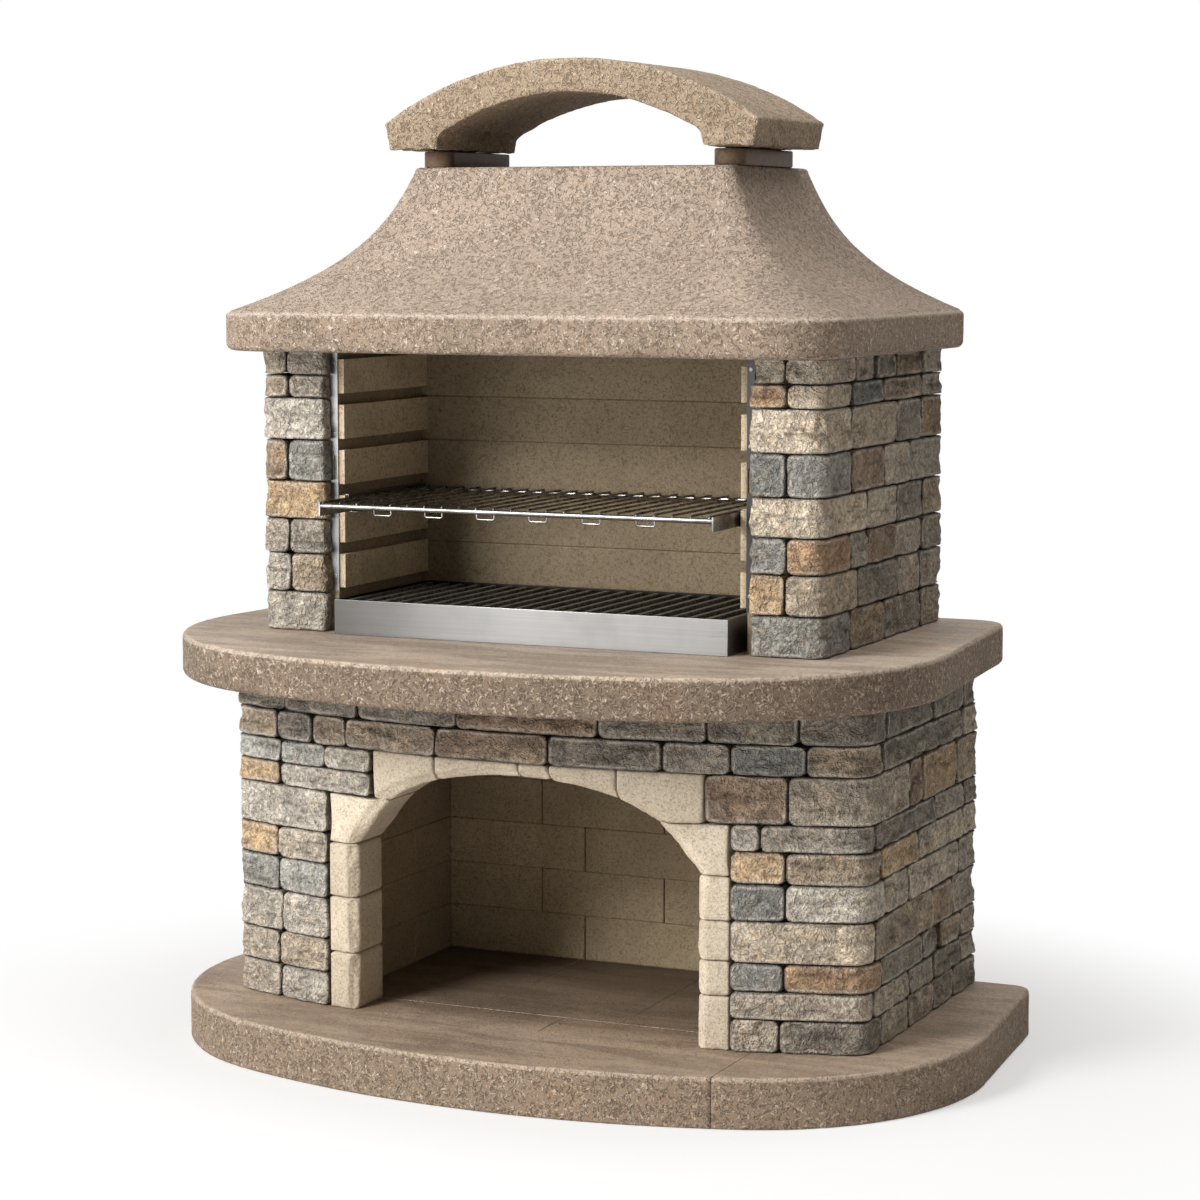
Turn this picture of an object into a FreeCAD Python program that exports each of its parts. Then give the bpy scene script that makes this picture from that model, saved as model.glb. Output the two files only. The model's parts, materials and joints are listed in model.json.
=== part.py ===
import FreeCAD, Part
import math
import os
import re
import Sketcher
from FreeCAD import Placement, Rotation, Vector

os.makedirs("parts", exist_ok=True)
doc = FreeCAD.newDocument("barbecue")

# Sizes in millimetres. Depths run forward from the rear face of the masonry.
SIZES = {
    "base_thick": 99,
    "base_front": 1000,
    "base_rear": 25,
    "base_overhang": 166,
    "base_overhang_rear": 126,
    "base_front_radius": 1640,
    "base_shoulder_radius": 480,
    "base_edge_round": 14,
    "slab_corner_round": 48,
    "seam_clear": 15,
    "seam_gap": 1.5,
    "tile_thick": 25,
    "tile_gap": 1.5,
    "top_thick": 83,
    "top_front": 1100,
    "top_rear": 53,
    "top_half": 796,
    "top_half_rear": 742,
    "top_front_radius": 1500,
    "top_shoulder_radius": 500,
    "top_edge_round": 14,
    "shoulder_height": 441,
    "crown_height": 94,
    "band_height": 141,
    "low_half": 686,
    "low_front": 780,
    "low_front_radius": 2030,
    "low_shoulder_radius": 42,
    "low_wall": 160,
    "low_rear_wall": 83,
    "low_front_inner": 624,
    "stone_gap": 3,
    "jamb_inner": 369,
    "jamb_outer": 436,
    "spring_height": 338,
    "arch_rise": 168,
    "crown_left": 326,
    "crown_right": 387,
    "recess_side_thick": 63,
    "recess_back_thick": 60,
    "block_gap": 2,
    "row_setback": 0.5,
    "upper_height": 566,
    "up_half": 607,
    "up_front": 699,
    "up_corner_round": 36,
    "up_rear_round": 10,
    "up_wall": 87,
    "up_rear_wall": 110,
    "fire_half": 457,
    "front_stone_depth": 32,
    "fire_back": 305,
    "back_liner_thick": 60,
    "groove_face": 443,
    "rib_proud": 15,
    "rib_height": 68,
    "rib_tall": 95,
    "rib_start": 88,
    "rib_end": 19,
    "strip_width": 15.5,
    "strip_thick": 3,
    "strip_side_gap": 0.5,
    "strip_start": 82,
    "slot_width": 6,
    "slot_height": 46,
    "screw_radius": 2,
    "screw_length": 25,
    "screw_head_radius": 4,
    "screw_head_height": 1.6,
    "screw_clearance": 0.2,
    "rail_thick": 2,
    "rail_lip": 22,
    "rail_drop": 36,
    "rail_hook": 13,
    "rail_end_gap": 12,
    "tray_half": 424,
    "tray_front": 721,
    "tray_back_gap": 15,
    "tray_height": 70,
    "tray_sheet": 3,
    "run_gap": 0.4,
    "grate_side_gap": 8,
    "grate_end_gap": 10,
    "grate_bar_width": 11,
    "grate_bar_height": 9,
    "grate_cross_height": 8,
    "grate_cross_width": 16,
    "grate_leg_radius": 6,
    "grate_top_drop": 3,
    "grill_bar_thick": 4,
    "grill_bar_height": 28,
    "grill_side_gap": 4.5,
    "grill_reach": 88,
    "grill_back_gap": 13,
    "front_rod_radius": 5.5,
    "back_rod_radius": 4,
    "rod_rise": 20,
    "wire_radius": 2.3,
    "hook_radius": 1.7,
    "hook_drop": 9,
    "rim_height": 75,
    "rim_half": 662,
    "rim_front": 839,
    "rim_rear": 0,
    "rim_front_round": 148,
    "rim_rear_round": 40,
    "rim_edge_round": 10,
    "hood_rise": 288,
    "hood_half": 352,
    "hood_front": 522,
    "hood_rear": 78,
    "hood_front_round": 24,
    "hood_rear_round": 40,
    "flare_lean": 0.4,
    "smoke_half": 446,
    "smoke_front": 690,
    "smoke_rear_gap": 5,
    "outlet_half": 190,
    "outlet_front": 430,
    "outlet_rear": 170,
    "smoke_round": 20,
    "spacer_height": 33,
    "spacer_offset": 318,
    "spacer_half": 33,
    "spacer_front": 484,
    "spacer_rear": 176,
    "cap_front": 532,
    "cap_rear": 164,
    "cap_foot_half": 398,
    "cap_half": 409,
    "cap_end_height": 57,
    "cap_rise": 123,
    "soffit_half": 283,
    "soffit_start": 28,
    "soffit_rise": 82,
    "trim_margin": 60,
}

# Sizes that follow from the ones above.
DERIVED = {
    "rear_y": "=(top_front - top_rear) / 2",
    "shoulder_top": "=base_thick + shoulder_height",
    "crown_top": "=shoulder_top + crown_height",
    "worktop_low": "=crown_top + band_height",
    "worktop_top": "=worktop_low + top_thick",
    "spring_level": "=base_thick + spring_height",
    "base_half": "=low_half + base_overhang",
    "base_half_rear": "=low_half + base_overhang_rear",
    "low_rear": "=0",
    "low_half_rear": "=low_half",
    "recess_back": "=low_rear_wall + recess_back_thick",
    "low_inner": "=low_half - low_wall",
    "recess_half": "=low_inner - recess_side_thick",
    "seam_offset": "=recess_half + seam_clear",
    "up_inner": "=up_half - up_wall",
    "liner_front": "=up_front - front_stone_depth",
    "fire_core_front": "=fire_back - back_liner_thick",
    "hood_low": "=worktop_top + upper_height",
    "rim_top": "=hood_low + rim_height",
    "hood_top": "=rim_top + hood_rise",
    "cap_low": "=hood_top + spacer_height",
    "rib_face": "=groove_face - rib_proud",
    "rib_space": "=(upper_height - rib_start - rib_tall - 4 * rib_height - rib_end) / 4",
    "rib_tall_low": "=worktop_top + rib_start + rib_height + rib_space",
    "rib_tall_top": "=rib_tall_low + rib_tall",
    "rail_top": "=rib_tall_top + rail_thick",
    "rail_low": "=rail_top - rail_drop",
    "strip_outer": "=fire_half - strip_side_gap",
    "strip_inner": "=strip_outer - strip_width",
    "tray_low": "=worktop_top + run_gap",
    "tray_top": "=tray_low + tray_height",
    "tray_floor": "=tray_low + tray_sheet",
    "tray_back": "=fire_back + tray_back_gap",
    "grate_top": "=tray_top - grate_top_drop",
    "grate_bar_low": "=grate_top - grate_bar_height",
    "grate_cross_low": "=grate_bar_low - grate_cross_height",
    "grate_half": "=tray_half - tray_sheet - grate_side_gap",
    "grate_front": "=tray_front - tray_sheet - grate_end_gap",
    "grate_back": "=tray_back + tray_sheet + grate_end_gap",
    "grill_low": "=rail_low + rail_thick + run_gap",
    "grill_outer": "=rib_face - rail_thick - grill_side_gap",
    "grill_inner": "=grill_outer - grill_bar_thick",
    "grill_front": "=up_front + grill_reach",
    "grill_back": "=fire_back + grill_back_gap",
    "rod_level": "=grill_low + rod_rise",
    "back_rod_level": "=rod_level + front_rod_radius - back_rod_radius",
    "wire_level": "=rod_level + front_rod_radius + wire_radius",
    "wire_half": "=grill_inner - wire_radius - 2 * hook_radius",
    "cap_tip": "=cap_low + cap_end_height",
    "cap_radius": "=(cap_half ^ 2 + cap_rise ^ 2) / (2 * cap_rise)",
    "cap_centre": "=cap_tip + cap_rise - cap_radius",
    "soffit_level": "=cap_low + soffit_start",
    "soffit_radius": "=(soffit_half ^ 2 + soffit_rise ^ 2) / (2 * soffit_rise)",
    "soffit_centre": "=soffit_level + soffit_rise - soffit_radius",
}

sheet = doc.addObject("Spreadsheet::Sheet", "Dims")
for row, (name, content) in enumerate(list(SIZES.items()) + list(DERIVED.items()), start=1):
    sheet.set(f"A{row}", name)
    sheet.set(f"B{row}", str(content))
    sheet.setAlias(f"B{row}", name)
doc.recompute()

NAMES = list(SIZES) + list(DERIVED)
SIZE = {name: float(sheet.get(name)) for name in NAMES}
SHEET_WORDS = {name: f"Dims.{name}" for name in NAMES}
NODES = []


def ex(text):
    """Expression text with each size name pointed at the sheet."""
    return re.sub(r"[a-z][a-z_]*", lambda word: SHEET_WORDS.get(word.group(0), word.group(0)), str(text))


def bind(thing, **targets):
    """Ties properties to expressions; a double underscore in a name stands for a dot."""
    for prop, text in targets.items():
        thing.setExpression(prop.replace("__", "."), ex(text))


def node(thing, label):
    """Marks a finished piece for its own file."""
    thing.Label = label
    NODES.append(thing)
    return thing


def block(name, x, depth, z):
    """Box between two widths, two depths and two heights."""
    box = doc.addObject("Part::Box", name)
    bind(box, Length=f"({x[1]}) - ({x[0]})")
    bind(box, Width=f"({depth[1]}) - ({depth[0]})")
    bind(box, Height=f"({z[1]}) - ({z[0]})")
    bind(box, Placement__Base__x=x[0], Placement__Base__y=f"rear_y - ({depth[1]})", Placement__Base__z=z[0])
    return box


def mirrored(x, side):
    """The same width range on the left or the right of the middle."""
    if side > 0:
        return x
    return (f"-({x[1]})", f"-({x[0]})")


def rod(name, axis, radius, length, x, depth, z):
    """Round bar that starts at a point and runs along x, forward to back (y) or upward (z)."""
    bar = doc.addObject("Part::Cylinder", name)
    turns = {"x": Rotation(Vector(0, 1, 0), 90), "y": Rotation(Vector(1, 0, 0), -90), "z": Rotation()}
    bar.Placement = Placement(Vector(0, 0, 0), turns[axis])
    bind(bar, Radius=radius, Height=length)
    bind(bar, Placement__Base__x=x, Placement__Base__y=f"rear_y - ({depth})", Placement__Base__z=z)
    return bar


def compound(name, pieces):
    group = doc.addObject("Part::Compound", name)
    group.Links = pieces
    return group


def fuse(name, pieces):
    joined = doc.addObject("Part::MultiFuse", name)
    joined.Shapes = pieces
    joined.Refine = True
    return joined


def cut(name, base, tool):
    result = doc.addObject("Part::Cut", name)
    result.Base = base
    result.Tool = tool
    return result


def common(name, base, tool):
    result = doc.addObject("Part::Common", name)
    result.Base = base
    result.Tool = tool
    return result


def new_body(name):
    body = doc.addObject("PartDesign::Body", name)
    planes = {feature.Role: feature for feature in body.Origin.OriginFeatures}
    return body, planes


def new_sketch(body, plane, name, offset):
    sketch = body.newObject("Sketcher::SketchObject", name)
    sketch.AttachmentSupport = [(plane, "")]
    sketch.MapMode = "FlatFace"
    bind(sketch, AttachmentOffset__Base__z=offset)
    return sketch


def size_constraint(sketch, name, text, *args):
    """Named constraint whose value follows the sheet."""
    index = sketch.addConstraint(Sketcher.Constraint(*args))
    sketch.renameConstraint(index, name)
    sketch.setExpression(f"Constraints.{name}", ex(text))


def arc(centre, radius, start, end):
    return Part.ArcOfCircle(Part.Circle(Vector(*centre, 0), Vector(0, 0, 1), radius), start, end)


def line(start, end):
    return Part.LineSegment(Vector(*start, 0), Vector(*end, 0))


def bowed_outline(sketch, prefix):
    """Plan with an arc front, round shoulders, tapering sides and a straight back."""
    front, rear = SIZE[prefix + "_front"], SIZE[prefix + "_rear"]
    half, half_rear = SIZE[prefix + "_half"], SIZE[prefix + "_half_rear"]
    big, small = SIZE[prefix + "_front_radius"], SIZE[prefix + "_shoulder_radius"]
    centre_y = SIZE["rear_y"] - front + big
    back_y = SIZE["rear_y"] + rear
    side_x = half - small
    side_y = centre_y - math.sqrt((big - small) ** 2 - side_x ** 2)
    reach = math.hypot(half_rear - side_x, back_y - side_y)
    turn = math.atan2(side_y - centre_y, side_x)
    leave = math.atan2(back_y - side_y, half_rear - side_x) - math.acos(small / reach)
    meet = (side_x + small * math.cos(leave), side_y + small * math.sin(leave))
    sketch.addGeometry(arc((0, centre_y), big, -math.pi - turn, turn))
    sketch.addGeometry(arc((side_x, side_y), small, turn, leave))
    sketch.addGeometry(line(meet, (half_rear, back_y)))
    sketch.addGeometry(line((half_rear, back_y), (-half_rear, back_y)))
    sketch.addGeometry(line((-half_rear, back_y), (-meet[0], meet[1])))
    sketch.addGeometry(arc((-side_x, side_y), small, math.pi - leave, math.pi - turn))
    for first, second in ((0, 1), (1, 2), (4, 5), (5, 0)):
        sketch.addConstraint(Sketcher.Constraint("Tangent", first, 2, second, 1))
    for first, second in ((2, 3), (3, 4)):
        sketch.addConstraint(Sketcher.Constraint("Coincident", first, 2, second, 1))
    sketch.addConstraint(Sketcher.Constraint("Equal", 1, 5))
    sketch.addConstraint(Sketcher.Constraint("PointOnObject", 0, 3, -2))
    sketch.addConstraint(Sketcher.Constraint("Symmetric", 2, 2, 3, 2, -2))
    shoulder = f"{prefix}_half - {prefix}_shoulder_radius"
    size_constraint(sketch, "front_radius", f"{prefix}_front_radius", "Radius", 0, big)
    size_constraint(sketch, "shoulder_radius", f"{prefix}_shoulder_radius", "Radius", 1, small)
    size_constraint(sketch, "front_centre", f"rear_y - {prefix}_front + {prefix}_front_radius",
                    "DistanceY", -1, 1, 0, 3, centre_y)
    size_constraint(sketch, "back_width", f"{prefix}_half_rear", "DistanceX", -1, 1, 2, 2, half_rear)
    size_constraint(sketch, "back_depth", f"rear_y + {prefix}_rear", "DistanceY", -1, 1, 2, 2, back_y)
    size_constraint(sketch, "shoulder_right", shoulder, "DistanceX", -1, 1, 1, 3, side_x)
    size_constraint(sketch, "shoulder_left", shoulder, "DistanceX", 5, 3, -1, 1, side_x)


def round_rectangle(sketch, half, front, rear, front_round, rear_round, numbers):
    """Rectangle in plan with its own corner radius in front and behind."""
    wide, near, far, front_r, rear_r = numbers
    quarter = math.pi / 2
    sketch.addGeometry(line((-wide + front_r, near), (wide - front_r, near)))
    sketch.addGeometry(arc((wide - front_r, near + front_r), front_r, -quarter, 0))
    sketch.addGeometry(line((wide, near + front_r), (wide, far - rear_r)))
    sketch.addGeometry(arc((wide - rear_r, far - rear_r), rear_r, 0, quarter))
    sketch.addGeometry(line((wide - rear_r, far), (-wide + rear_r, far)))
    sketch.addGeometry(arc((-wide + rear_r, far - rear_r), rear_r, quarter, 2 * quarter))
    sketch.addGeometry(line((-wide, far - rear_r), (-wide, near + front_r)))
    sketch.addGeometry(arc((-wide + front_r, near + front_r), front_r, 2 * quarter, 3 * quarter))
    for first in range(8):
        sketch.addConstraint(Sketcher.Constraint("Tangent", first, 2, (first + 1) % 8, 1))
    for flat, upright in ((0, 2), (4, 6)):
        sketch.addConstraint(Sketcher.Constraint("Horizontal", flat))
        sketch.addConstraint(Sketcher.Constraint("Vertical", upright))
    sketch.addConstraint(Sketcher.Constraint("Equal", 1, 7))
    sketch.addConstraint(Sketcher.Constraint("Equal", 3, 5))
    size_constraint(sketch, "front_round", front_round, "Radius", 1, front_r)
    size_constraint(sketch, "rear_round", rear_round, "Radius", 3, rear_r)
    size_constraint(sketch, "right_side", half, "DistanceX", -1, 1, 2, 1, wide)
    size_constraint(sketch, "left_side", half, "DistanceX", 6, 1, -1, 1, wide)
    size_constraint(sketch, "front_line", f"rear_y - ({front})", "DistanceY", -1, 1, 0, 1, near)
    size_constraint(sketch, "rear_line", f"rear_y - ({rear})", "DistanceY", -1, 1, 4, 1, far)


def pad(body, name, sketch, length):
    feature = body.newObject("PartDesign::Pad", name)
    feature.Profile = sketch
    bind(feature, Length=length)
    sketch.Visibility = False
    return feature


def fillet(body, name, base, edges, radius):
    feature = body.newObject("PartDesign::Fillet", name)
    feature.Base = (base, edges)
    bind(feature, Radius=radius)
    return feature


def edges_where(feature, test):
    doc.recompute()
    return [f"Edge{i}" for i, edge in enumerate(feature.Shape.Edges, start=1) if test(edge.BoundBox)]


def bowed_slab(name, prefix, low, top, thick, round_low):
    """Cast slab with a bowed front, round rear corners and soft long edges."""
    body, planes = new_body(name)
    sketch = new_sketch(body, planes["XY_Plane"], name + "_outline", low)
    bowed_outline(sketch, prefix)
    slab = pad(body, name + "_pad", sketch, thick)
    back = SIZE["rear_y"] + SIZE[prefix + "_rear"]
    uprights = edges_where(slab, lambda box: box.YMin > back - 1 and box.ZLength > 1)
    slab = fillet(body, name + "_corners", slab, uprights, "slab_corner_round")
    levels = [SIZE[top]] + ([SIZE[low]] if round_low else [])
    rims = edges_where(slab, lambda box: box.ZLength < 1 and min(abs(box.ZMin - z) for z in levels) < 0.01)
    slab = fillet(body, name + "_rims", slab, rims, prefix + "_edge_round")
    return body


def upright_prism(name, prefix, low, height):
    """Plain upright prism on a bowed plan, used to trim masonry to its outer line."""
    body, planes = new_body(name)
    sketch = new_sketch(body, planes["XY_Plane"], name + "_outline", low)
    bowed_outline(sketch, prefix)
    pad(body, name + "_pad", sketch, height)
    return body


def spans(edges, gap):
    """Ranges between neighbouring joints, each joint as wide as the gap."""
    result = []
    last = len(edges) - 2
    for i, (start, end) in enumerate(zip(edges, edges[1:])):
        low = start if i == 0 else f"{start} + {gap} / 2"
        high = end if i == last else f"{end} - {gap} / 2"
        result.append((low, high))
    return result


def shares(start, end, parts):
    """Heights or positions that divide a run in the given proportions."""
    total = sum(parts)
    edges = [start]
    for i in range(1, len(parts)):
        edges.append(f"({start}) + (({end}) - ({start})) * {sum(parts[:i]) / total:.6f}")
    return edges + [end]


# Base: a bowed plinth cast in two pieces, with a tiled recess floor let into its top.
base_blank = bowed_slab("base_blank", "base", "low_rear", "base_thick", "base_thick", False)
whole = ("-base_half - trim_margin", "base_half + trim_margin")
run = ("-base_rear - trim_margin", "base_front + trim_margin")
full = ("-trim_margin", "base_thick + trim_margin")
left_half = block("base_left_side", (whole[0], "seam_offset - seam_gap / 2"), run, full)
right_half = block("base_right_side", ("seam_offset + seam_gap / 2", whole[1]), run, full)
tile_top = ("base_thick - tile_thick", "base_thick")
tile_bed = ("base_thick - tile_thick", "base_thick + trim_margin")
tile_front = "low_front - low_front_radius + sqrt(low_front_radius ^ 2 - jamb_inner ^ 2)"
pockets = [
    block("tile_bed_rear", ("-recess_half", "recess_half"), ("recess_back", "low_front_inner"), tile_bed),
    block("tile_bed_front", ("-jamb_inner", "jamb_inner"), ("low_front_inner", tile_front), tile_bed),
]
base_left = common("base_left_blank", base_blank, left_half)
node(cut("base_left", base_left, fuse("tile_bed", pockets)), "base_slab_left")
node(common("base_right", base_blank, right_half), "base_slab_right")
tiles = []
for i, x in enumerate(spans(shares("-recess_half", "recess_half", (34, 33, 33)), "tile_gap")):
    tiles.append(block(f"tile_rear_{i}", x, ("recess_back", "low_front_inner - tile_gap"), tile_top))
for i, x in enumerate(spans(shares("-jamb_inner", "jamb_inner", (55, 45)), "tile_gap")):
    tiles.append(block(f"tile_front_{i}", x, ("low_front_inner", tile_front), tile_top))
node(compound("recess_tiles", tiles), "recess_floor_tiles")

# Lower body: ten stone courses around the log recess. The proportions of the courses and the
# lengths of the stones are laid by eye, course by course from the bottom.
LOWER_ZONES = ("shoulder", "crown", "band")
LOWER_COURSES = {
    -1: {"shoulder": (69, 69, 84, 70, 64, 85), "crown": (47, 47), "band": (60, 81)},
    1: {"shoulder": (64, 54, 56, 81, 72, 62, 52), "crown": (94,), "band": (60, 81)},
}
PIER_JOINTS = {
    -1: ((0.49,), (0.48,), (0.52,), (0.48,), (0.47,), (), (0.34,), (0.35, 0.68)),
    1: ((0.63,), (), (0.60,), (), (0.59,), (0.59,), (0.78,), (0.48,)),
}
BAND_JOINTS = (
    (-0.83, -0.69, -0.565, -0.25, 0.11, 0.445, 0.635, 0.84),
    (-0.80, -0.52, -0.18, 0.26, 0.57, 0.82),
)
SIDE_JOINTS = {
    -1: ((0.74, 0.50, 0.22), (0.76, 0.40, 0.13), (0.73, 0.56, 0.30), (0.76, 0.46, 0.17), (0.72, 0.52, 0.25),
         (0.80, 0.42, 0.14), (0.73, 0.35, 0.19), (0.75, 0.54, 0.27), (0.77, 0.44, 0.15), (0.72, 0.49, 0.24)),
    1: ((0.75, 0.545, 0.35, 0.18), (0.80, 0.535, 0.345, 0.125), (0.755, 0.437, 0.29, 0.125),
        (0.80, 0.355, 0.20), (0.73, 0.55, 0.15), (0.755, 0.475, 0.12), (0.80, 0.34, 0.11),
        (0.55, 0.45, 0.177), (0.755, 0.43, 0.13), (0.73, 0.37, 0.125)),
}
REAR_JOINTS = ((-0.38, 0.30), (-0.28, 0.41), (-0.45, 0.22), (-0.33, 0.36), (-0.40, 0.27))
ZONE_LEVELS = {
    "shoulder": ("base_thick", "shoulder_top"),
    "crown": ("shoulder_top", "crown_top"),
    "band": ("crown_top", "worktop_low"),
}

lower_line = upright_prism("lower_line", "low", "base_thick", "worktop_low - base_thick")
lower_hollow = block("lower_hollow", ("-low_inner", "low_inner"), ("low_rear_wall", "low_front_inner"),
                     ("base_thick - trim_margin", "worktop_low + trim_margin"))
lower_shell = cut("lower_shell", lower_line, lower_hollow)


def course_levels(side):
    """Height range and zone of every lower course on one side."""
    levels = []
    for zone in LOWER_ZONES:
        edges = shares(*ZONE_LEVELS[zone], LOWER_COURSES[side][zone])
        levels += [(low, high, zone) for low, high in zip(edges, edges[1:])]
    return levels


def side_stones(tag, side, z, outer, inner, length, joints):
    """Stones of one side wall behind its corner stone."""
    edges = ["0"] + [f"{length} * {share}" for share in reversed(joints)]
    stones = []
    for i, depth in enumerate(spans(edges, "stone_gap")):
        if i == len(edges) - 2:
            depth = (depth[0], f"{edges[-1]} - stone_gap / 2")
        stones.append(block(f"{tag}_side_{i}", mirrored((inner, outer), side), depth, z))
    return stones


def corner_and_front(tag, side, z, outer, inner, joints, corner_depth, front_depth, reach):
    """Corner stone that turns into the side wall, and the shallower front stones beside it."""
    stops = [f"({outer}) - (({outer}) - ({inner})) * {share}" for share in reversed(joints)]
    edges = [inner] + stops + [outer]
    stones = []
    for i, x in enumerate(spans(edges, "stone_gap")):
        start = f"{corner_depth} + stone_gap / 2" if i == len(joints) else front_depth
        stones.append(block(f"{tag}_front_{i}", mirrored(x, side), (start, reach), z))
    return stones


lower_reach = "low_front + trim_margin"
for course in range(10):
    tag = f"lower_{course + 1:02d}"
    stones = []
    for side in (-1, 1):
        low, high, zone = course_levels(side)[course]
        name = f"{tag}_{'left' if side < 0 else 'right'}"
        joints = SIDE_JOINTS[side][course]
        corner = f"low_front * {joints[0]}"
        stones += side_stones(name, side, (low, high), "low_half", "low_inner", "low_front", joints)
        if zone == "band":
            continue
        inner = "jamb_outer"
        if zone == "crown":
            inner = "crown_left" if side < 0 else "crown_right"
        stones += corner_and_front(name, side, (low, high), "low_half", f"{inner} + stone_gap / 2",
                                   PIER_JOINTS[side][course], corner, "low_front_inner", lower_reach)
    low, high, zone = course_levels(-1)[course]
    if zone == "band":
        edges = ["-low_half"] + [f"low_half * {share}" for share in BAND_JOINTS[course - 8]] + ["low_half"]
        for i, x in enumerate(spans(edges, "stone_gap")):
            deep = "low_front_inner"
            if i == 0:
                deep = f"low_front * {SIDE_JOINTS[-1][course][0]} + stone_gap / 2"
            if i == len(edges) - 2:
                deep = f"low_front * {SIDE_JOINTS[1][course][0]} + stone_gap / 2"
            stones.append(block(f"{tag}_band_{i}", x, (deep, lower_reach), (low, high)))
    inside = ("-low_inner + stone_gap / 2", "low_inner - stone_gap / 2")
    edges = [inside[0]] + [f"low_inner * {share}" for share in REAR_JOINTS[course % 5]] + [inside[1]]
    for i, x in enumerate(spans(edges, "stone_gap")):
        stones.append(block(f"{tag}_rear_{i}", x, ("0", "low_rear_wall"), (low, high)))
    node(common(tag, compound(tag + "_stones", stones), lower_shell), f"lower_course_{course + 1:02d}")

# Cream surround of the log recess: jambs, springers, voussoirs and a keystone.
front_run = ("low_front_inner", lower_reach)
JAMB_BLOCKS = {-1: (55, 54, 53), 1: (55, 36, 41, 45)}
for side in (-1, 1):
    word = "left" if side < 0 else "right"
    x = mirrored(("jamb_inner", "jamb_outer - stone_gap / 2"), side)
    edges = shares("base_thick", "spring_level", JAMB_BLOCKS[side])
    blocks = []
    for i, z in enumerate(zip(edges, edges[1:])):
        depth = (f"low_front_inner + row_setback * {i % 2}", lower_reach)
        blocks.append(block(f"jamb_{word}_{i}", x, depth, z))
    node(common(f"jamb_{word}", compound(f"jamb_{word}_blocks", blocks), lower_line), f"arch_jamb_{word}")

intrados = doc.addObject("Part::Ellipse", "intrados")
bind(intrados, MajorRadius="jamb_inner", MinorRadius="arch_rise", Placement__Base__z="spring_level")
intrados.Placement.Rotation = Rotation(Vector(1, 0, 0), 90)
bind(intrados, Placement__Base__y="rear_y")
arch_void = doc.addObject("Part::Extrusion", "arch_void")
arch_void.Base = intrados
arch_void.DirMode = "Custom"
arch_void.Dir = Vector(0, -1, 0)
arch_void.Solid = True
bind(arch_void, LengthFwd=lower_reach)


def arch_piece(name, label, blocks):
    """Surround blocks trimmed to the bowed front and to the arch."""
    trimmed = common(name + "_trim", compound(name + "_blocks", blocks), lower_line)
    return node(cut(name, trimmed, arch_void), label)


for side in (-1, 1):
    word = "left" if side < 0 else "right"
    x = mirrored(("0", "jamb_outer - stone_gap / 2"), side)
    blocks = [block(f"springer_{word}_block", x, front_run, ("spring_level", "shoulder_top"))]
    arch_piece(f"springer_{word}", f"arch_springer_{word}", blocks)

VOUSSOIR_JOINTS = (-0.48, 0.02, 0.195, 0.575)
edges = ["-crown_left + stone_gap / 2"] + [f"jamb_inner * {share}" for share in VOUSSOIR_JOINTS]
edges += ["crown_right - stone_gap / 2"]
crown_blocks = []
for i, x in enumerate(spans(edges, "block_gap")):
    crown_blocks.append(block(f"voussoir_{i}", x, front_run, ("shoulder_top", "crown_top")))
keystone = crown_blocks.pop(2)
arch_piece("voussoirs", "arch_voussoirs", crown_blocks)
arch_piece("keystone", "arch_keystone", [keystone])

# Lining of the log recess in sawn blocks.
LINER_ROWS = 7
BACK_ROW_JOINTS = ((-0.30, 0.36), (-0.52, 0.10, 0.62))
edges = shares("base_thick", "worktop_low", (1,) * LINER_ROWS)
row_levels = list(zip(edges, edges[1:]))
blocks = []
for i, z in enumerate(row_levels):
    stops = [f"recess_half * {share}" for share in BACK_ROW_JOINTS[i % 2]]
    depth = ("low_rear_wall", f"recess_back - row_setback * {i % 2}")
    for j, x in enumerate(spans(["-recess_half"] + stops + ["recess_half"], "block_gap")):
        blocks.append(block(f"recess_back_{i}_{j}", x, depth, z))
node(compound("recess_back_blocks", blocks), "recess_back_lining")
SIDE_ROW_JOINTS = (0.42, 0.66)
for side in (-1, 1):
    word = "left" if side < 0 else "right"
    blocks = []
    for i, z in enumerate(row_levels):
        x = mirrored((f"recess_half + row_setback * {i % 2}", "low_inner"), side)
        joint = SIDE_ROW_JOINTS[i % 2]
        ends = shares("low_rear_wall", "low_front_inner", (joint, 1 - joint))
        for j, depth in enumerate(spans(ends, "block_gap")):
            blocks.append(block(f"recess_{word}_{i}_{j}", x, depth, z))
    node(compound(f"recess_{word}_blocks", blocks), f"recess_{word}_lining")

# Worktop: one bowed cast slab.
node(bowed_slab("worktop", "top", "worktop_low", "worktop_top", "top_thick", True), "worktop")

# Upper body: eight stone courses with a straight front around the firebox.
UPPER_COURSES = (79, 78, 70, 76, 83, 84, 46, 50)
PILLAR_JOINTS = {
    -1: ((), (0.47,), (0.45,), (), (0.44,), (), (0.46,), (0.43,)),
    1: ((), (0.52,), (0.50,), (), (0.51,), (), (0.50,), (0.53,)),
}
PILLAR_SIDE_JOINTS = {
    -1: ((0.74, 0.46, 0.20), (0.77, 0.52, 0.24), (0.72, 0.40, 0.17), (0.76, 0.50, 0.22), (0.73, 0.43, 0.19),
         (0.78, 0.47, 0.16), (0.74, 0.51, 0.26), (0.76, 0.45, 0.21)),
    1: ((0.77, 0.505, 0.185), (0.72, 0.385, 0.19), (0.78, 0.64, 0.405, 0.175), (0.645, 0.40, 0.17),
        (0.775, 0.51, 0.285), (0.775, 0.40, 0.193), (0.775, 0.515, 0.187), (0.755, 0.585, 0.415, 0.183)),
}
upper_line, planes = new_body("upper_line")
sketch = new_sketch(upper_line, planes["XY_Plane"], "upper_line_outline", "worktop_top")
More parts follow.
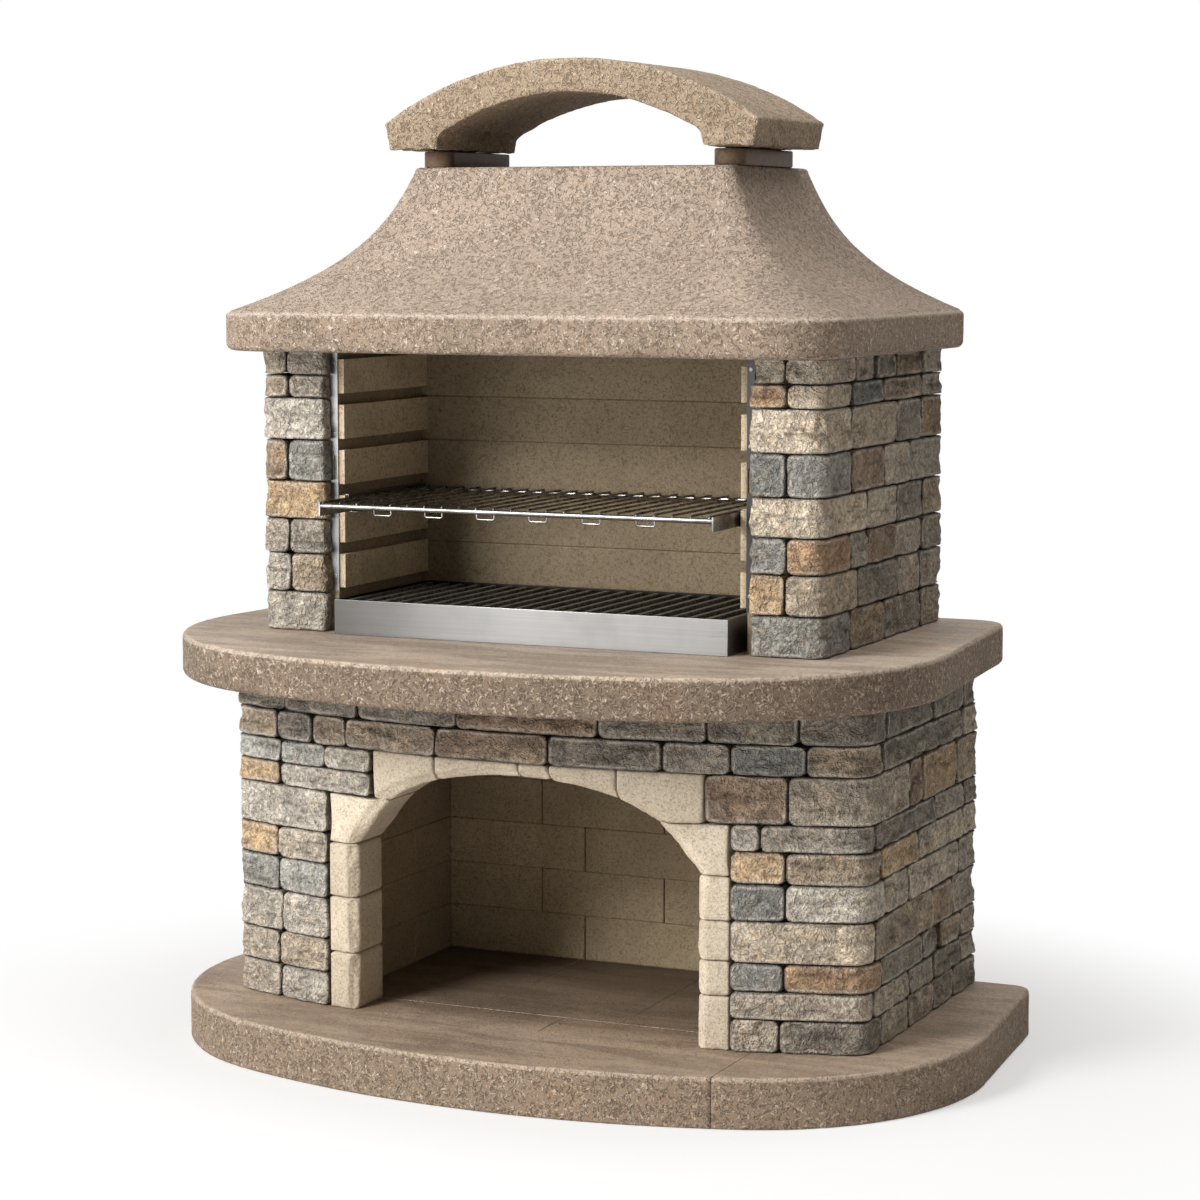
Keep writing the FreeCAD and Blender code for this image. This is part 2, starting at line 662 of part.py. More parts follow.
round_rectangle(sketch, "up_half", "up_front", "0", "up_corner_round", "up_rear_round",
                (SIZE["up_half"], SIZE["rear_y"] - SIZE["up_front"], SIZE["rear_y"],
                 SIZE["up_corner_round"], SIZE["up_rear_round"]))
pad(upper_line, "upper_line_pad", sketch, "upper_height")
tall = ("worktop_top - trim_margin", "hood_low + trim_margin")
upper_hollows = [
    block("liner_hollow", ("-up_inner", "up_inner"), ("up_rear_wall", "liner_front"), tall),
    block("fire_hollow", ("-fire_half", "fire_half"), ("up_rear_wall", "up_front + trim_margin"), tall),
]
upper_shell = cut("upper_shell", upper_line, fuse("upper_hollow", upper_hollows))
edges = shares("worktop_top", "hood_low", UPPER_COURSES)
for course, z in enumerate(zip(edges, edges[1:])):
    tag = f"upper_{course + 1:02d}"
    stones = []
    for side in (-1, 1):
        name = f"{tag}_{'left' if side < 0 else 'right'}"
        joints = PILLAR_SIDE_JOINTS[side][course]
        stones += side_stones(name, side, z, "up_half", "up_inner", "up_front", joints)
        stones += corner_and_front(name, side, z, "up_half", "fire_half", PILLAR_JOINTS[side][course],
                                   f"up_front * {joints[0]}", "liner_front", "up_front")
    inside = ("-up_inner + stone_gap / 2", "up_inner - stone_gap / 2")
    stops = [inside[0]] + [f"up_inner * {share}" for share in REAR_JOINTS[course % 5]] + [inside[1]]
    for i, x in enumerate(spans(stops, "stone_gap")):
        stones.append(block(f"{tag}_rear_{i}", x, ("0", "up_rear_wall"), z))
    node(common(tag, compound(tag + "_stones", stones), upper_shell), f"upper_course_{course + 1:02d}")

# Firebox lining: a filled rear wall, smooth back slabs and ribbed side panels.
node(block("rear_core", ("-up_inner", "up_inner"), ("up_rear_wall", "fire_core_front"),
           ("worktop_top", "hood_low")), "firebox_rear_core")
BACK_SLABS = (152, 108, 107, 92, 107)
edges = shares("worktop_top", "hood_low", BACK_SLABS)
slabs = []
for i, z in enumerate(zip(edges, edges[1:])):
    depth = ("fire_core_front", f"fire_back - row_setback * {i % 2}")
    slabs.append(block(f"back_slab_{i}", ("-up_inner", "up_inner"), depth, z))
node(compound("back_slabs", slabs), "firebox_back_lining")

panel_joint = "rib_tall_low + rib_tall / 2"
rib_step = "(rib_height + rib_space)"
RIB_LEVELS = (
    ("worktop_top + rib_start", "worktop_top + rib_start + rib_height"),
    ("rib_tall_low", panel_joint),
    (panel_joint, "rib_tall_top"),
    ("rib_tall_top + rib_space", f"rib_tall_top + {rib_step}"),
    (f"rib_tall_top + rib_space + {rib_step}", f"rib_tall_top + 2 * {rib_step}"),
    (f"rib_tall_top + rib_space + 2 * {rib_step}", f"rib_tall_top + 3 * {rib_step}"),
)
PANELS = (
    ("lower", ("worktop_top", panel_joint), RIB_LEVELS[:2]),
    ("upper", (panel_joint, "hood_low"), RIB_LEVELS[2:]),
)
SCREW_SHARES = (0.06, 0.35, 0.65, 0.95)
strip_levels = ("worktop_top + strip_start", "hood_low")
strip_middle = "(strip_inner + strip_outer) / 2"
strip_front = "liner_front + strip_thick"
slot_levels = ("rib_tall_top + rib_space + (rib_height - slot_height) / 2",
               "rib_tall_top + rib_space + (rib_height + slot_height) / 2")
screws = []
for side in (-1, 1):
    word = "left" if side < 0 else "right"
    sign = "-1" if side < 0 else "1"
    holes = []
    for i, share in enumerate(SCREW_SHARES):
        z = f"{strip_levels[0]} + ({strip_levels[1]} - ({strip_levels[0]})) * {share}"
        x = f"{sign} * {strip_middle}"
        holes.append(rod(f"screw_hole_{word}_{i}", "y", "screw_radius + screw_clearance",
                         "screw_length + strip_thick", x, strip_front, z))
        shank = rod(f"screw_shank_{word}_{i}", "y", "screw_radius", "screw_length", x, strip_front, z)
        head = rod(f"screw_head_{word}_{i}", "y", "screw_head_radius", "screw_head_height", x,
                   f"{strip_front} + screw_head_height", z)
        screws.append(fuse(f"screw_{word}_{i}", [shank, head]))
    bores = compound(f"screw_holes_{word}", holes)
    panels = []
    for name, z, ribs in PANELS:
        depth = ("fire_back", "liner_front")
        pieces = [block(f"{name}_panel_{word}", mirrored(("groove_face", "up_inner"), side), depth, z)]
        for i, rib in enumerate(ribs):
            x = mirrored(("rib_face", "groove_face"), side)
            pieces.append(block(f"{name}_rib_{word}_{i}", x, depth, rib))
        panels.append(fuse(f"{name}_liner_{word}", pieces))
    both = compound(f"liner_panels_{word}", panels)
    node(cut(f"ribbed_liner_{word}", both, bores), f"firebox_{word}_lining")
    flat = block(f"strip_flat_{word}", mirrored(("strip_inner", "strip_outer"), side),
                 ("liner_front", strip_front), strip_levels)
    slot_x = mirrored(("strip_inner + strip_thick", "strip_inner + strip_thick + slot_width"), side)
    slot = block(f"strip_slot_{word}", slot_x, ("liner_front - trim_margin", "up_front"), slot_levels)
    node(cut(f"strip_{word}", flat, fuse(f"strip_openings_{word}", [slot] + holes)), f"edge_strip_{word}")
    rail_run = ("fire_back + rail_end_gap", "liner_front - rail_end_gap")
    web = ("rib_face - rail_thick", "rib_face")
    pieces = [
        block(f"rail_web_{word}", mirrored(web, side), rail_run, ("rail_low", "rail_top")),
        block(f"rail_hook_{word}", mirrored((web[0], "rib_face + rail_hook"), side), rail_run,
              ("rib_tall_top", "rail_top")),
        block(f"rail_lip_{word}", mirrored((f"{web[1]} - rail_lip", web[1]), side), rail_run,
              ("rail_low", "rail_low + rail_thick")),
    ]
    node(fuse(f"rail_{word}", pieces), f"grill_rail_{word}")
node(compound("strip_screws", screws), "strip_screws")

# Ember tray: an open sheet steel drawer that stands on the worktop.
tray_box = block("tray_box", ("-tray_half", "tray_half"), ("tray_back", "tray_front"),
                 ("tray_low", "tray_top"))
tray_room = block("tray_room", ("-tray_half + tray_sheet", "tray_half - tray_sheet"),
                  ("tray_back + tray_sheet", "tray_front - tray_sheet"),
                  ("tray_floor", "tray_top + trim_margin"))
node(cut("tray", tray_box, tray_room), "ember_tray")

# Ember grate: flat bars on two cross bars with four legs, lifted out of the tray.
GRATE_BARS = 23
bars = []
for i in range(GRATE_BARS):
    middle = f"(grate_half - grate_bar_width / 2) * {-1 + 2 * i / (GRATE_BARS - 1):.6f}"
    x = (f"{middle} - grate_bar_width / 2", f"{middle} + grate_bar_width / 2")
    bars.append(block(f"grate_bar_{i}", x, ("grate_back", "grate_front"), ("grate_bar_low", "grate_top")))
node(compound("grate_bars", bars), "ember_grate_bars")
CROSS_SHARES = (0.15, 0.85)
LEG_SHARES = (-0.9, 0.9)
cross_bars = []
legs = []
for i, share in enumerate(CROSS_SHARES):
    middle = f"grate_back + (grate_front - grate_back) * {share}"
    depth = (f"{middle} - grate_cross_width / 2", f"{middle} + grate_cross_width / 2")
    cross_bars.append(block(f"cross_bar_{i}", ("-grate_half", "grate_half"), depth,
                            ("grate_cross_low", "grate_bar_low")))
    for j, place in enumerate(LEG_SHARES):
        legs.append(rod(f"grate_leg_{i}_{j}", "z", "grate_leg_radius",
                        "grate_cross_low - tray_floor - run_gap",
                        f"grate_half * {place}", middle, "tray_floor + run_gap"))
node(compound("grate_cross_bars", cross_bars), "ember_grate_cross_bars")
node(compound("grate_legs", legs), "ember_grate_legs")

# Cooking grill: two side bars on the rails, a front and a back rod, and wires laid across them.
side_bars = []
for side in (-1, 1):
    word = "left" if side < 0 else "right"
    side_bars.append(block(f"grill_bar_{word}", mirrored(("grill_inner", "grill_outer"), side),
                           ("grill_back", "grill_front"), ("grill_low", "grill_low + grill_bar_height")))
node(compound("grill_bars", side_bars), "grill_side_bars")
rod_depth = "grill_front - front_rod_radius"
node(rod("front_rod", "x", "front_rod_radius", "2 * grill_inner", "-grill_inner", rod_depth, "rod_level"),
     "grill_front_rod")
node(rod("back_rod", "x", "back_rod_radius", "2 * grill_inner", "-grill_inner",
         "grill_back + back_rod_radius", "back_rod_level"), "grill_back_rod")
GRILL_WIRES = 23
wires = []
for i in range(GRILL_WIRES):
    x = f"wire_half * {-1 + 2 * i / (GRILL_WIRES - 1):.6f}"
    wires.append(rod(f"wire_{i}", "y", "wire_radius", "grill_front - grill_back", x,
                     "grill_front", "wire_level"))
node(compound("wires", wires), "grill_wires")
HOOK_GAPS = (3, 6, 9, 12, 15, 18)
hooks = []
for i, gap in enumerate(HOOK_GAPS):
    start = f"wire_half * {-1 + 2 * gap / (GRILL_WIRES - 1):.6f}"
    step = f"wire_half * {2 / (GRILL_WIRES - 1):.6f}"
    low = "rod_level - front_rod_radius - hook_drop"
    pieces = [rod(f"hook_run_{i}", "x", "hook_radius", step, start, rod_depth, low)]
    for j in range(2):
        x = f"{start} + {step} * {j}"
        pieces.append(rod(f"hook_leg_{i}_{j}", "z", "hook_radius", "hook_drop", x, rod_depth, low))
        ball = doc.addObject("Part::Sphere", f"hook_bend_{i}_{j}")
        bind(ball, Radius="hook_radius", Placement__Base__x=x, Placement__Base__z=low)
        bind(ball, Placement__Base__y=f"rear_y - ({rod_depth})")
        pieces.append(ball)
    hooks.append(fuse(f"hook_{i}", pieces))
node(compound("hooks", hooks), "grill_wire_bends")

# Hood: a rim and a concave flare around a smoke chamber that narrows to the outlet.
hood, planes = new_body("hood")
FLARE_STEPS = 8


def flare(share):
    """How far the flare has opened, from 0 at the top to 1 at the rim."""
    return SIZE["flare_lean"] * share + (1 - SIZE["flare_lean"]) * share ** 3


def between(top, low, share):
    return f"{top} + ({low} - {top}) * (flare_lean * {share} + (1 - flare_lean) * {share} ^ 3)"


def blend(top, low, share):
    return SIZE[top] + (SIZE[low] - SIZE[top]) * flare(share)


def hood_section(name, share, level):
    """Outline of the hood at one height."""
    outline = new_sketch(hood, planes["XY_Plane"], name, level)
    pairs = [("hood_half", "rim_half"), ("hood_front", "rim_front"), ("hood_rear", "rim_rear"),
             ("hood_front_round", "rim_front_round"), ("hood_rear_round", "rim_rear_round")]
    wide, front, rear, front_r, rear_r = [blend(top, low, share) for top, low in pairs]
    numbers = (wide, SIZE["rear_y"] - front, SIZE["rear_y"] - rear, front_r, rear_r)
    round_rectangle(outline, *[between(top, low, share) for top, low in pairs], numbers)
    outline.Visibility = False
    return outline


rim = pad(hood, "hood_rim", hood_section("hood_rim_outline", 1, "hood_low"), "rim_height")
under = edges_where(rim, lambda box: box.ZLength < 1 and box.ZMin < SIZE["hood_low"] + 1)
fillet(hood, "hood_rim_low", rim, under, "rim_edge_round")
sections = []
for i in range(FLARE_STEPS + 1):
    share = 1 - i / FLARE_STEPS
    sections.append(hood_section(f"hood_flare_{i}", share, f"hood_top - hood_rise * {share}"))
loft = hood.newObject("PartDesign::AdditiveLoft", "hood_flare")
loft.Profile = sections[0]
loft.Sections = sections[1:]
doc.recompute()
smoke = []
for name, level, half, front, rear in (
    ("smoke_low", "hood_low", "smoke_half", "smoke_front", "fire_back - smoke_rear_gap"),
    ("smoke_high", "hood_top", "outlet_half", "outlet_front", "outlet_rear"),
):
    outline = new_sketch(hood, planes["XY_Plane"], name, level)
    back = SIZE["fire_back"] - SIZE["smoke_rear_gap"] if name == "smoke_low" else SIZE["outlet_rear"]
    corner = SIZE["smoke_round"]
    numbers = (SIZE[half], SIZE["rear_y"] - SIZE[front], SIZE["rear_y"] - back, corner, corner)
    round_rectangle(outline, half, front, rear, "smoke_round", "smoke_round", numbers)
    outline.Visibility = False
    smoke.append(outline)
chamber = hood.newObject("PartDesign::SubtractiveLoft", "smoke_chamber")
chamber.Profile = smoke[0]
chamber.Sections = [smoke[1]]
chamber.Ruled = True
node(hood, "hood")

# Cap: an arched slab on two round-ended spacers above the smoke outlet.
for side in (-1, 1):
    word = "left" if side < 0 else "right"
    place = f"{side} * spacer_offset"
    z = ("hood_top", "cap_low")
    ends = ("spacer_rear + spacer_half", "spacer_front - spacer_half")
    pieces = [block(f"spacer_middle_{word}", (f"{place} - spacer_half", f"{place} + spacer_half"), ends, z)]
    for i, depth in enumerate(ends):
        pieces.append(rod(f"spacer_end_{word}_{i}", "z", "spacer_half", "spacer_height", place, depth, z[0]))
    node(fuse(f"spacer_{word}", pieces), f"cap_spacer_{word}")

cap, planes = new_body("cap")
sketch = new_sketch(cap, planes["XZ_Plane"], "cap_profile", "cap_rear - rear_y")
corner_points = [
    ("cap_half", "cap_tip"),
    ("cap_foot_half", "cap_low"),
    ("soffit_half", "cap_low"),
    ("soffit_half", "soffit_level"),
]
right = [(SIZE[x], SIZE[z]) for x, z in corner_points]
left = [(-x, z) for x, z in right]
over = math.atan2(right[0][1] - SIZE["cap_centre"], right[0][0])
under_angle = math.atan2(right[3][1] - SIZE["soffit_centre"], right[3][0])
sketch.addGeometry(arc((0, SIZE["cap_centre"]), SIZE["cap_radius"], over, math.pi - over))
for start, end in zip(left, left[1:]):
    sketch.addGeometry(line(start, end))
sketch.addGeometry(arc((0, SIZE["soffit_centre"]), SIZE["soffit_radius"], under_angle, math.pi - under_angle))
for start, end in zip(right[::-1], right[::-1][1:]):
    sketch.addGeometry(line(start, end))
for first, pos, second, other in ((0, 2, 1, 1), (1, 2, 2, 1), (2, 2, 3, 1), (3, 2, 4, 2), (4, 1, 5, 1),
                                  (5, 2, 6, 1), (6, 2, 7, 1), (7, 2, 0, 1)):
    sketch.addConstraint(Sketcher.Constraint("Coincident", first, pos, second, other))
for geometry, (x, z) in zip((1, 2, 3), corner_points):
    size_constraint(sketch, f"left_{x}_{z}_across", x, "DistanceX", geometry, 1, -1, 1, SIZE[x])
    size_constraint(sketch, f"left_{x}_{z}_up", z, "DistanceY", -1, 1, geometry, 1, SIZE[z])
size_constraint(sketch, "left_soffit_across", "soffit_half", "DistanceX", 3, 2, -1, 1, SIZE["soffit_half"])
size_constraint(sketch, "left_soffit_up", "soffit_level", "DistanceY", -1, 1, 3, 2, SIZE["soffit_level"])
for geometry, pos, (x, z) in ((5, 1, corner_points[3]), (5, 2, corner_points[2]), (6, 2, corner_points[1]),
                              (7, 2, corner_points[0])):
    size_constraint(sketch, f"right_{x}_{z}_across", x, "DistanceX", -1, 1, geometry, pos, SIZE[x])
    size_constraint(sketch, f"right_{x}_{z}_up", z, "DistanceY", -1, 1, geometry, pos, SIZE[z])
size_constraint(sketch, "arch_over", "cap_radius", "Radius", 0, SIZE["cap_radius"])
size_constraint(sketch, "arch_under", "soffit_radius", "Radius", 4, SIZE["soffit_radius"])
pad(cap, "cap_pad", sketch, "cap_front - cap_rear")
node(cap, "chimney_cap")

doc.recompute()
faults = []
for thing in doc.Objects:
    if "Invalid" in thing.State or "Error" in thing.State:
        faults.append(f"{thing.Label}: {thing.State}")
for thing in NODES:
    if thing.Shape.isNull() or not thing.Shape.isValid() or not thing.Shape.Solids:
        faults.append(f"{thing.Label}: shape")
if faults:
    raise RuntimeError("; ".join(faults))
for thing in NODES:
    thing.Shape.exportStep(f"parts/{thing.Label}.step")
    print(thing.Label, len(thing.Shape.Solids), round(thing.Shape.Volume))
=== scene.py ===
import itertools
import json
import math

import bmesh
import bpy
import numpy as np
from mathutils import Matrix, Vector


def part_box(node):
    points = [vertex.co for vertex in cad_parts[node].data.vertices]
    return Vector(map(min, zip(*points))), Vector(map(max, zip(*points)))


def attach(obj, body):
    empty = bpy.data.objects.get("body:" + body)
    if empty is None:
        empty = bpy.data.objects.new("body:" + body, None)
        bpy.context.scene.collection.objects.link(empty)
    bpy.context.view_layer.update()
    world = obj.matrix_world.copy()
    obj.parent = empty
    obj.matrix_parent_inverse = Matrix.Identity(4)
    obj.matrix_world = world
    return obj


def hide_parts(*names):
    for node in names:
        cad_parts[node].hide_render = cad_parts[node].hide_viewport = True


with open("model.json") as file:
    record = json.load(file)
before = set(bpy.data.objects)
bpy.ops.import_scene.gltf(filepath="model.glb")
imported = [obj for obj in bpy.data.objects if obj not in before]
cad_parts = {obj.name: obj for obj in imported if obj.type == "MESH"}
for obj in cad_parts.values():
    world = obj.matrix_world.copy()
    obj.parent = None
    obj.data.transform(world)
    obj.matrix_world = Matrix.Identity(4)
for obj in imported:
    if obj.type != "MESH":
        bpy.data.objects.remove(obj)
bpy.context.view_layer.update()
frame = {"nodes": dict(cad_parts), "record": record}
NODES = frame["nodes"]
BODIES = frame["record"]["behaviour"]["bodies"]
BODY_OF = {node: body for body, group in BODIES.items() for node in group}
LOWER_COURSES, UPPER_COURSES, ARCH_NODES = (
    [name for name in sorted(NODES) if name.startswith(word)] for word in ("lower_", "upper_", "arch_"))

# Sizes in metres, MM is a millimetre. Depths run forward from the rear face of the masonry.
MM = 0.001
WELD = MM / 100
STRAIGHT_TURN = 1e-4
REAR_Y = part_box(LOWER_COURSES[0])[1].y
LOW_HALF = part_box(LOWER_COURSES[0])[1].x
LOW_FRONT = REAR_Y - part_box(LOWER_COURSES[-1])[0].y
LOW_FRONT_RADIUS = 2.030
UP_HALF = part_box(UPPER_COURSES[0])[1].x
UP_FRONT = REAR_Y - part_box(UPPER_COURSES[0])[0].y
FIRE_HALF = 0.457
FIRE_JAMB_DEPTH = 0.66
RECESS_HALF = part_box("recess_floor_tiles")[1].x
ARCH_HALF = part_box("arch_jamb_right")[0].x
ARCH_BACK_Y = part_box("arch_jamb_right")[1].y
ARCH_RISE = 0.168
SPRING_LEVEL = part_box("arch_springer_left")[0].z


# Random fields

HASH_PRIMES = np.array([73856093, 19349663, 83492791])
SEED_PRIME = 50331653
SEED_START = 12345
MIX_PRIME = 1274126177


def lattice(spot, seed):
    """Repeatable value from -1 to 1 for each whole-number place."""
    x, y, z = np.moveaxis(spot * HASH_PRIMES, -1, 0)
    mixed = x ^ y ^ z ^ (seed * SEED_PRIME + SEED_START)
    mixed = ((mixed ^ (mixed >> 13)) * MIX_PRIME) & 0xFFFFFFFF
    mixed = (mixed ^ (mixed >> 15)) & 0xFFFF
    return mixed / 32767.5 - 1.0


def noise(points, size, seed):
    """Smooth field from -1 to 1 with lumps of about the given size."""
    where = np.asarray(points, float) / size
    cell = np.floor(where).astype(np.int64)
    part = where - cell
    part = part * part * (3 - 2 * part)
    total = np.zeros(where.shape[:-1])
    for corner in itertools.product((0, 1), repeat=3):
        weight = np.prod(np.where(np.array(corner) == 1, part, 1 - part), axis=-1)
        total += weight * lattice(cell + np.array(corner), seed)
    return total


def rough(points, size, seed, octaves=3):
    """Sum of ever finer fields, from about -1 to 1."""
    total = 0
    weight = 1
    for octave in range(octaves):
        total = total + weight * noise(points, size / 2 ** octave, seed + octave)
        weight = weight / 2
    return total / (2 - 2 * weight)


# Meshes

def solids(node):
    """Separate solids of a node, each as points and triangles."""
    mesh = NODES[node].data
    mesh.calc_loop_triangles()
    places = np.array([vertex.co for vertex in mesh.vertices])
    keys = np.round(places / WELD).astype(np.int64)
    first, index = np.unique(keys, axis=0, return_index=True, return_inverse=True)[1:]
    index = index.ravel()
    places = places[first]
    result = []
    open_edges = set()
    batch = []
    for triangle in mesh.loop_triangles:
        corners = [int(index[vertex]) for vertex in triangle.vertices]
        batch.append(corners)
        for a, b in zip(corners, corners[1:] + corners[:1]):
            if (b, a) in open_edges:
                open_edges.remove((b, a))
            elif a != b:
                open_edges.add((a, b))
        if not open_edges:
            used, compact = np.unique(np.array(batch), return_inverse=True)
            result.append((places[used], compact.reshape(-1, 3)))
            batch = []
    return result


def plan_outline(points, triangles):
    """Corners of an upright prism seen from above, anticlockwise."""
    low = points[:, 2].min()
    edges = set()
    for corners in triangles.tolist():
        if points[corners, 2].max() < low + MM / 10:
            edges.update(zip(corners, corners[1:] + corners[:1]))
    follow = {b: a for a, b in edges if (b, a) not in edges}
    chain = [next(iter(follow))]
    while follow[chain[-1]] != chain[0]:
        chain.append(follow[chain[-1]])
    loop = points[chain, :2]
    before = loop - np.roll(loop, 1, axis=0)
    after = np.roll(loop, -1, axis=0) - loop
    turn = before[:, 0] * after[:, 1] - before[:, 1] * after[:, 0]
    size = np.hypot(*before.T) * np.hypot(*after.T)
    return loop[np.abs(turn) > STRAIGHT_TURN * size]


def grid_faces(number, closed=False):
    """Faces of a grid of point numbers; a closed one joins its last row to its first."""
    rows = np.vstack([number, number[:1]]) if closed else number
    corners = (rows[:-1, :-1], rows[1:, :-1], rows[1:, 1:], rows[:-1, 1:])
    return np.stack(corners, axis=-1).reshape(-1, 4).tolist()


class Pile:
    """Points, faces and point values gathered for one mesh."""

    def __init__(self):
        self.points = []
        self.faces = []
        self.smooth = []
        self.values = {}
        self.count = 0

    def add(self, points, faces, flat=(), **values):
        self.points.append(np.asarray(points, float))
        self.faces += [[int(corner) + self.count for corner in face] for face in [*faces, *flat]]
        self.smooth += [True] * len(faces) + [False] * len(flat)
        self.count += len(points)
        for label, value in values.items():
            value = np.asarray(value, float)
            if value.ndim == 0 or value.shape == (3,):
                value = np.broadcast_to(value, (len(points),) + value.shape)
            self.values.setdefault(label, []).append(value)

    def mesh(self, name, change):
        mesh = bpy.data.meshes.new(name)
        mesh.from_pydata(np.concatenate(self.points).tolist(), [], self.faces)
        mesh.polygons.foreach_set("use_smooth", self.smooth)
        for label, parts in self.values.items():
            whole = np.concatenate(parts)
            if whole.ndim == 2:
                whole = np.column_stack([whole, np.ones(len(whole))])
                mesh.attributes.new(label, "FLOAT_COLOR", "POINT").data.foreach_set("color", whole.ravel())
            else:
                mesh.attributes.new(label, "FLOAT", "POINT").data.foreach_set("value", whole)
        shape = bmesh.new()
        shape.from_mesh(mesh)
        if change:
            change(shape)
        bmesh.ops.recalc_face_normals(shape, faces=shape.faces)
        shape.to_mesh(mesh)
        shape.free()
        return mesh


def add_object(name, data):
    """New object in the scene."""
    thing = bpy.data.objects.new(name, data)
    bpy.context.scene.collection.objects.link(thing)
    return thing


def place(pile, node, suffix, material, change=None):
    """Puts a finished pile in the scene in place of a node."""
    name = node + suffix
    mesh = pile.mesh(name, change)
    thing = add_object(name, mesh)
    mesh.materials.append(material)
    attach(thing, BODY_OF[node])
    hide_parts(node)


# Paths in plan

CORNER_ANGLE = math.radians(25)
CORNER_STEPS = 6
CORNER_SHARE = 0.49
NORMAL_REACH = 3 * MM


def round_corners(path, radius, closed=False):
    """Path with its sharp corners replaced by arcs."""
    path = np.asarray(path, float)
    result = []
    for i, corner in enumerate(path):
        back = path[i - 1] - corner
        ahead = path[(i + 1) % len(path)] - corner
        room = min(np.hypot(*back), np.hypot(*ahead)) * CORNER_SHARE
        back = back / np.hypot(*back)
        ahead = ahead / np.hypot(*ahead)
        turn = math.pi - math.acos(max(-1.0, min(1.0, float(back @ ahead))))
        if turn < CORNER_ANGLE or not closed and i in (0, len(path) - 1):
            result.append(corner)
            continue
        reach = min(room, radius * math.tan(turn / 2))
        start = corner + back * reach
        end = corner + ahead * reach
        for t in np.linspace(0, 1, CORNER_STEPS + 1):
            result.append((1 - t) ** 2 * start + 2 * t * (1 - t) * corner + t ** 2 * end)
    return np.array(result)


class Run:
    """Smooth lookup of places and outward normals along a path in plan."""

    def __init__(self, path, closed=False):
        self.path = np.vstack([path, path[:1]]) if closed else path
        self.closed = closed
        self.along = np.concatenate([[0], np.cumsum(np.hypot(*np.diff(self.path, axis=0).T))])
        self.length = self.along[-1]

    def at(self, s):
        s = s % self.length if self.closed else np.clip(s, 0, self.length)
        return np.stack([np.interp(s, self.along, self.path[:, axis]) for axis in (0, 1)], axis=-1)

    def normal(self, s):
        ahead = self.at(s + NORMAL_REACH) - self.at(s - NORMAL_REACH)
        ahead = ahead / np.maximum(np.hypot(ahead[..., 0], ahead[..., 1]), 1e-9)[..., None]
        return np.stack([ahead[..., 1], -ahead[..., 0]], axis=-1)


# Colours

def linear(red, green, blue):
    """Linear colour from eight-bit screen values."""
    shares = np.array([red, green, blue]) / 255
    return np.where(shares <= 0.04045, shares / 12.92, ((shares + 0.055) / 1.055) ** 2.4)


STONE_TONES = {
    "pale": (194, 188, 178), "grey": (168, 162, 152), "sky": (174, 174, 170), "blue": (158, 158, 154),
    "ink": (138, 139, 137), "dark": (144, 138, 129), "moss": (150, 145, 133), "sand": (189, 179, 165),
    "beige": (194, 181, 163), "cream": (210, 198, 180), "tan": (203, 178, 146), "ochre": (178, 158, 129),
    "taupe": (170, 156, 138), "rust": (181, 152, 124), "mauve": (156, 137, 119),
}
COMMON_TONES = "pale pale sand sand sand grey grey blue beige beige taupe tan cream moss dark mauve".split()
# A line per course, the lowest first: front stones from the left, then right side stones from the front. The
# top two lower courses take darker tones, a painted shadow of the worktop.
COURSE_TONES = {
    "lower": """
        sand pale sand dark / sand sand grey grey
        sand beige sand / sand grey moss grey
        pale pale blue rust / moss grey taupe sand
        blue sky cream / taupe mauve grey
        tan sand ink pale / sand sand grey
        pale tan taupe / tan sand sand
        tan pale pale grey / dark grey dark
        sky sky pale mauve sand / mauve ochre taupe
        taupe dark taupe taupe mauve dark grey ink taupe / moss dark sand
        moss dark dark mauve dark moss dark / dark moss dark
    """,
    "upper": """
        pale blue / taupe grey sand
        pale taupe tan beige / dark sand grey
        sand grey blue rust / grey mauve sand moss
        tan cream / sand dark taupe
        mauve blue ink blue / mauve sand grey
        pale cream / beige grey mauve
        taupe grey rust beige / ink taupe grey
        sand grey sand sand / sand dark mauve grey
    """,
}


# Materials

def add_node(tree, kind, inputs=None, **settings):
    """Outputs of a new shader node whose inputs are values or other sockets."""
    made = tree.nodes.new("ShaderNode" + kind)
    for label, value in settings.items():
        setattr(made, label, value)
    for label, value in (inputs or {}).items():
        socket = made.inputs[label]
        if isinstance(value, bpy.types.NodeSocket):
            tree.links.new(value, socket)
        else:
            socket.default_value = (*value, 1) if socket.type == "RGBA" else value
    return made.outputs


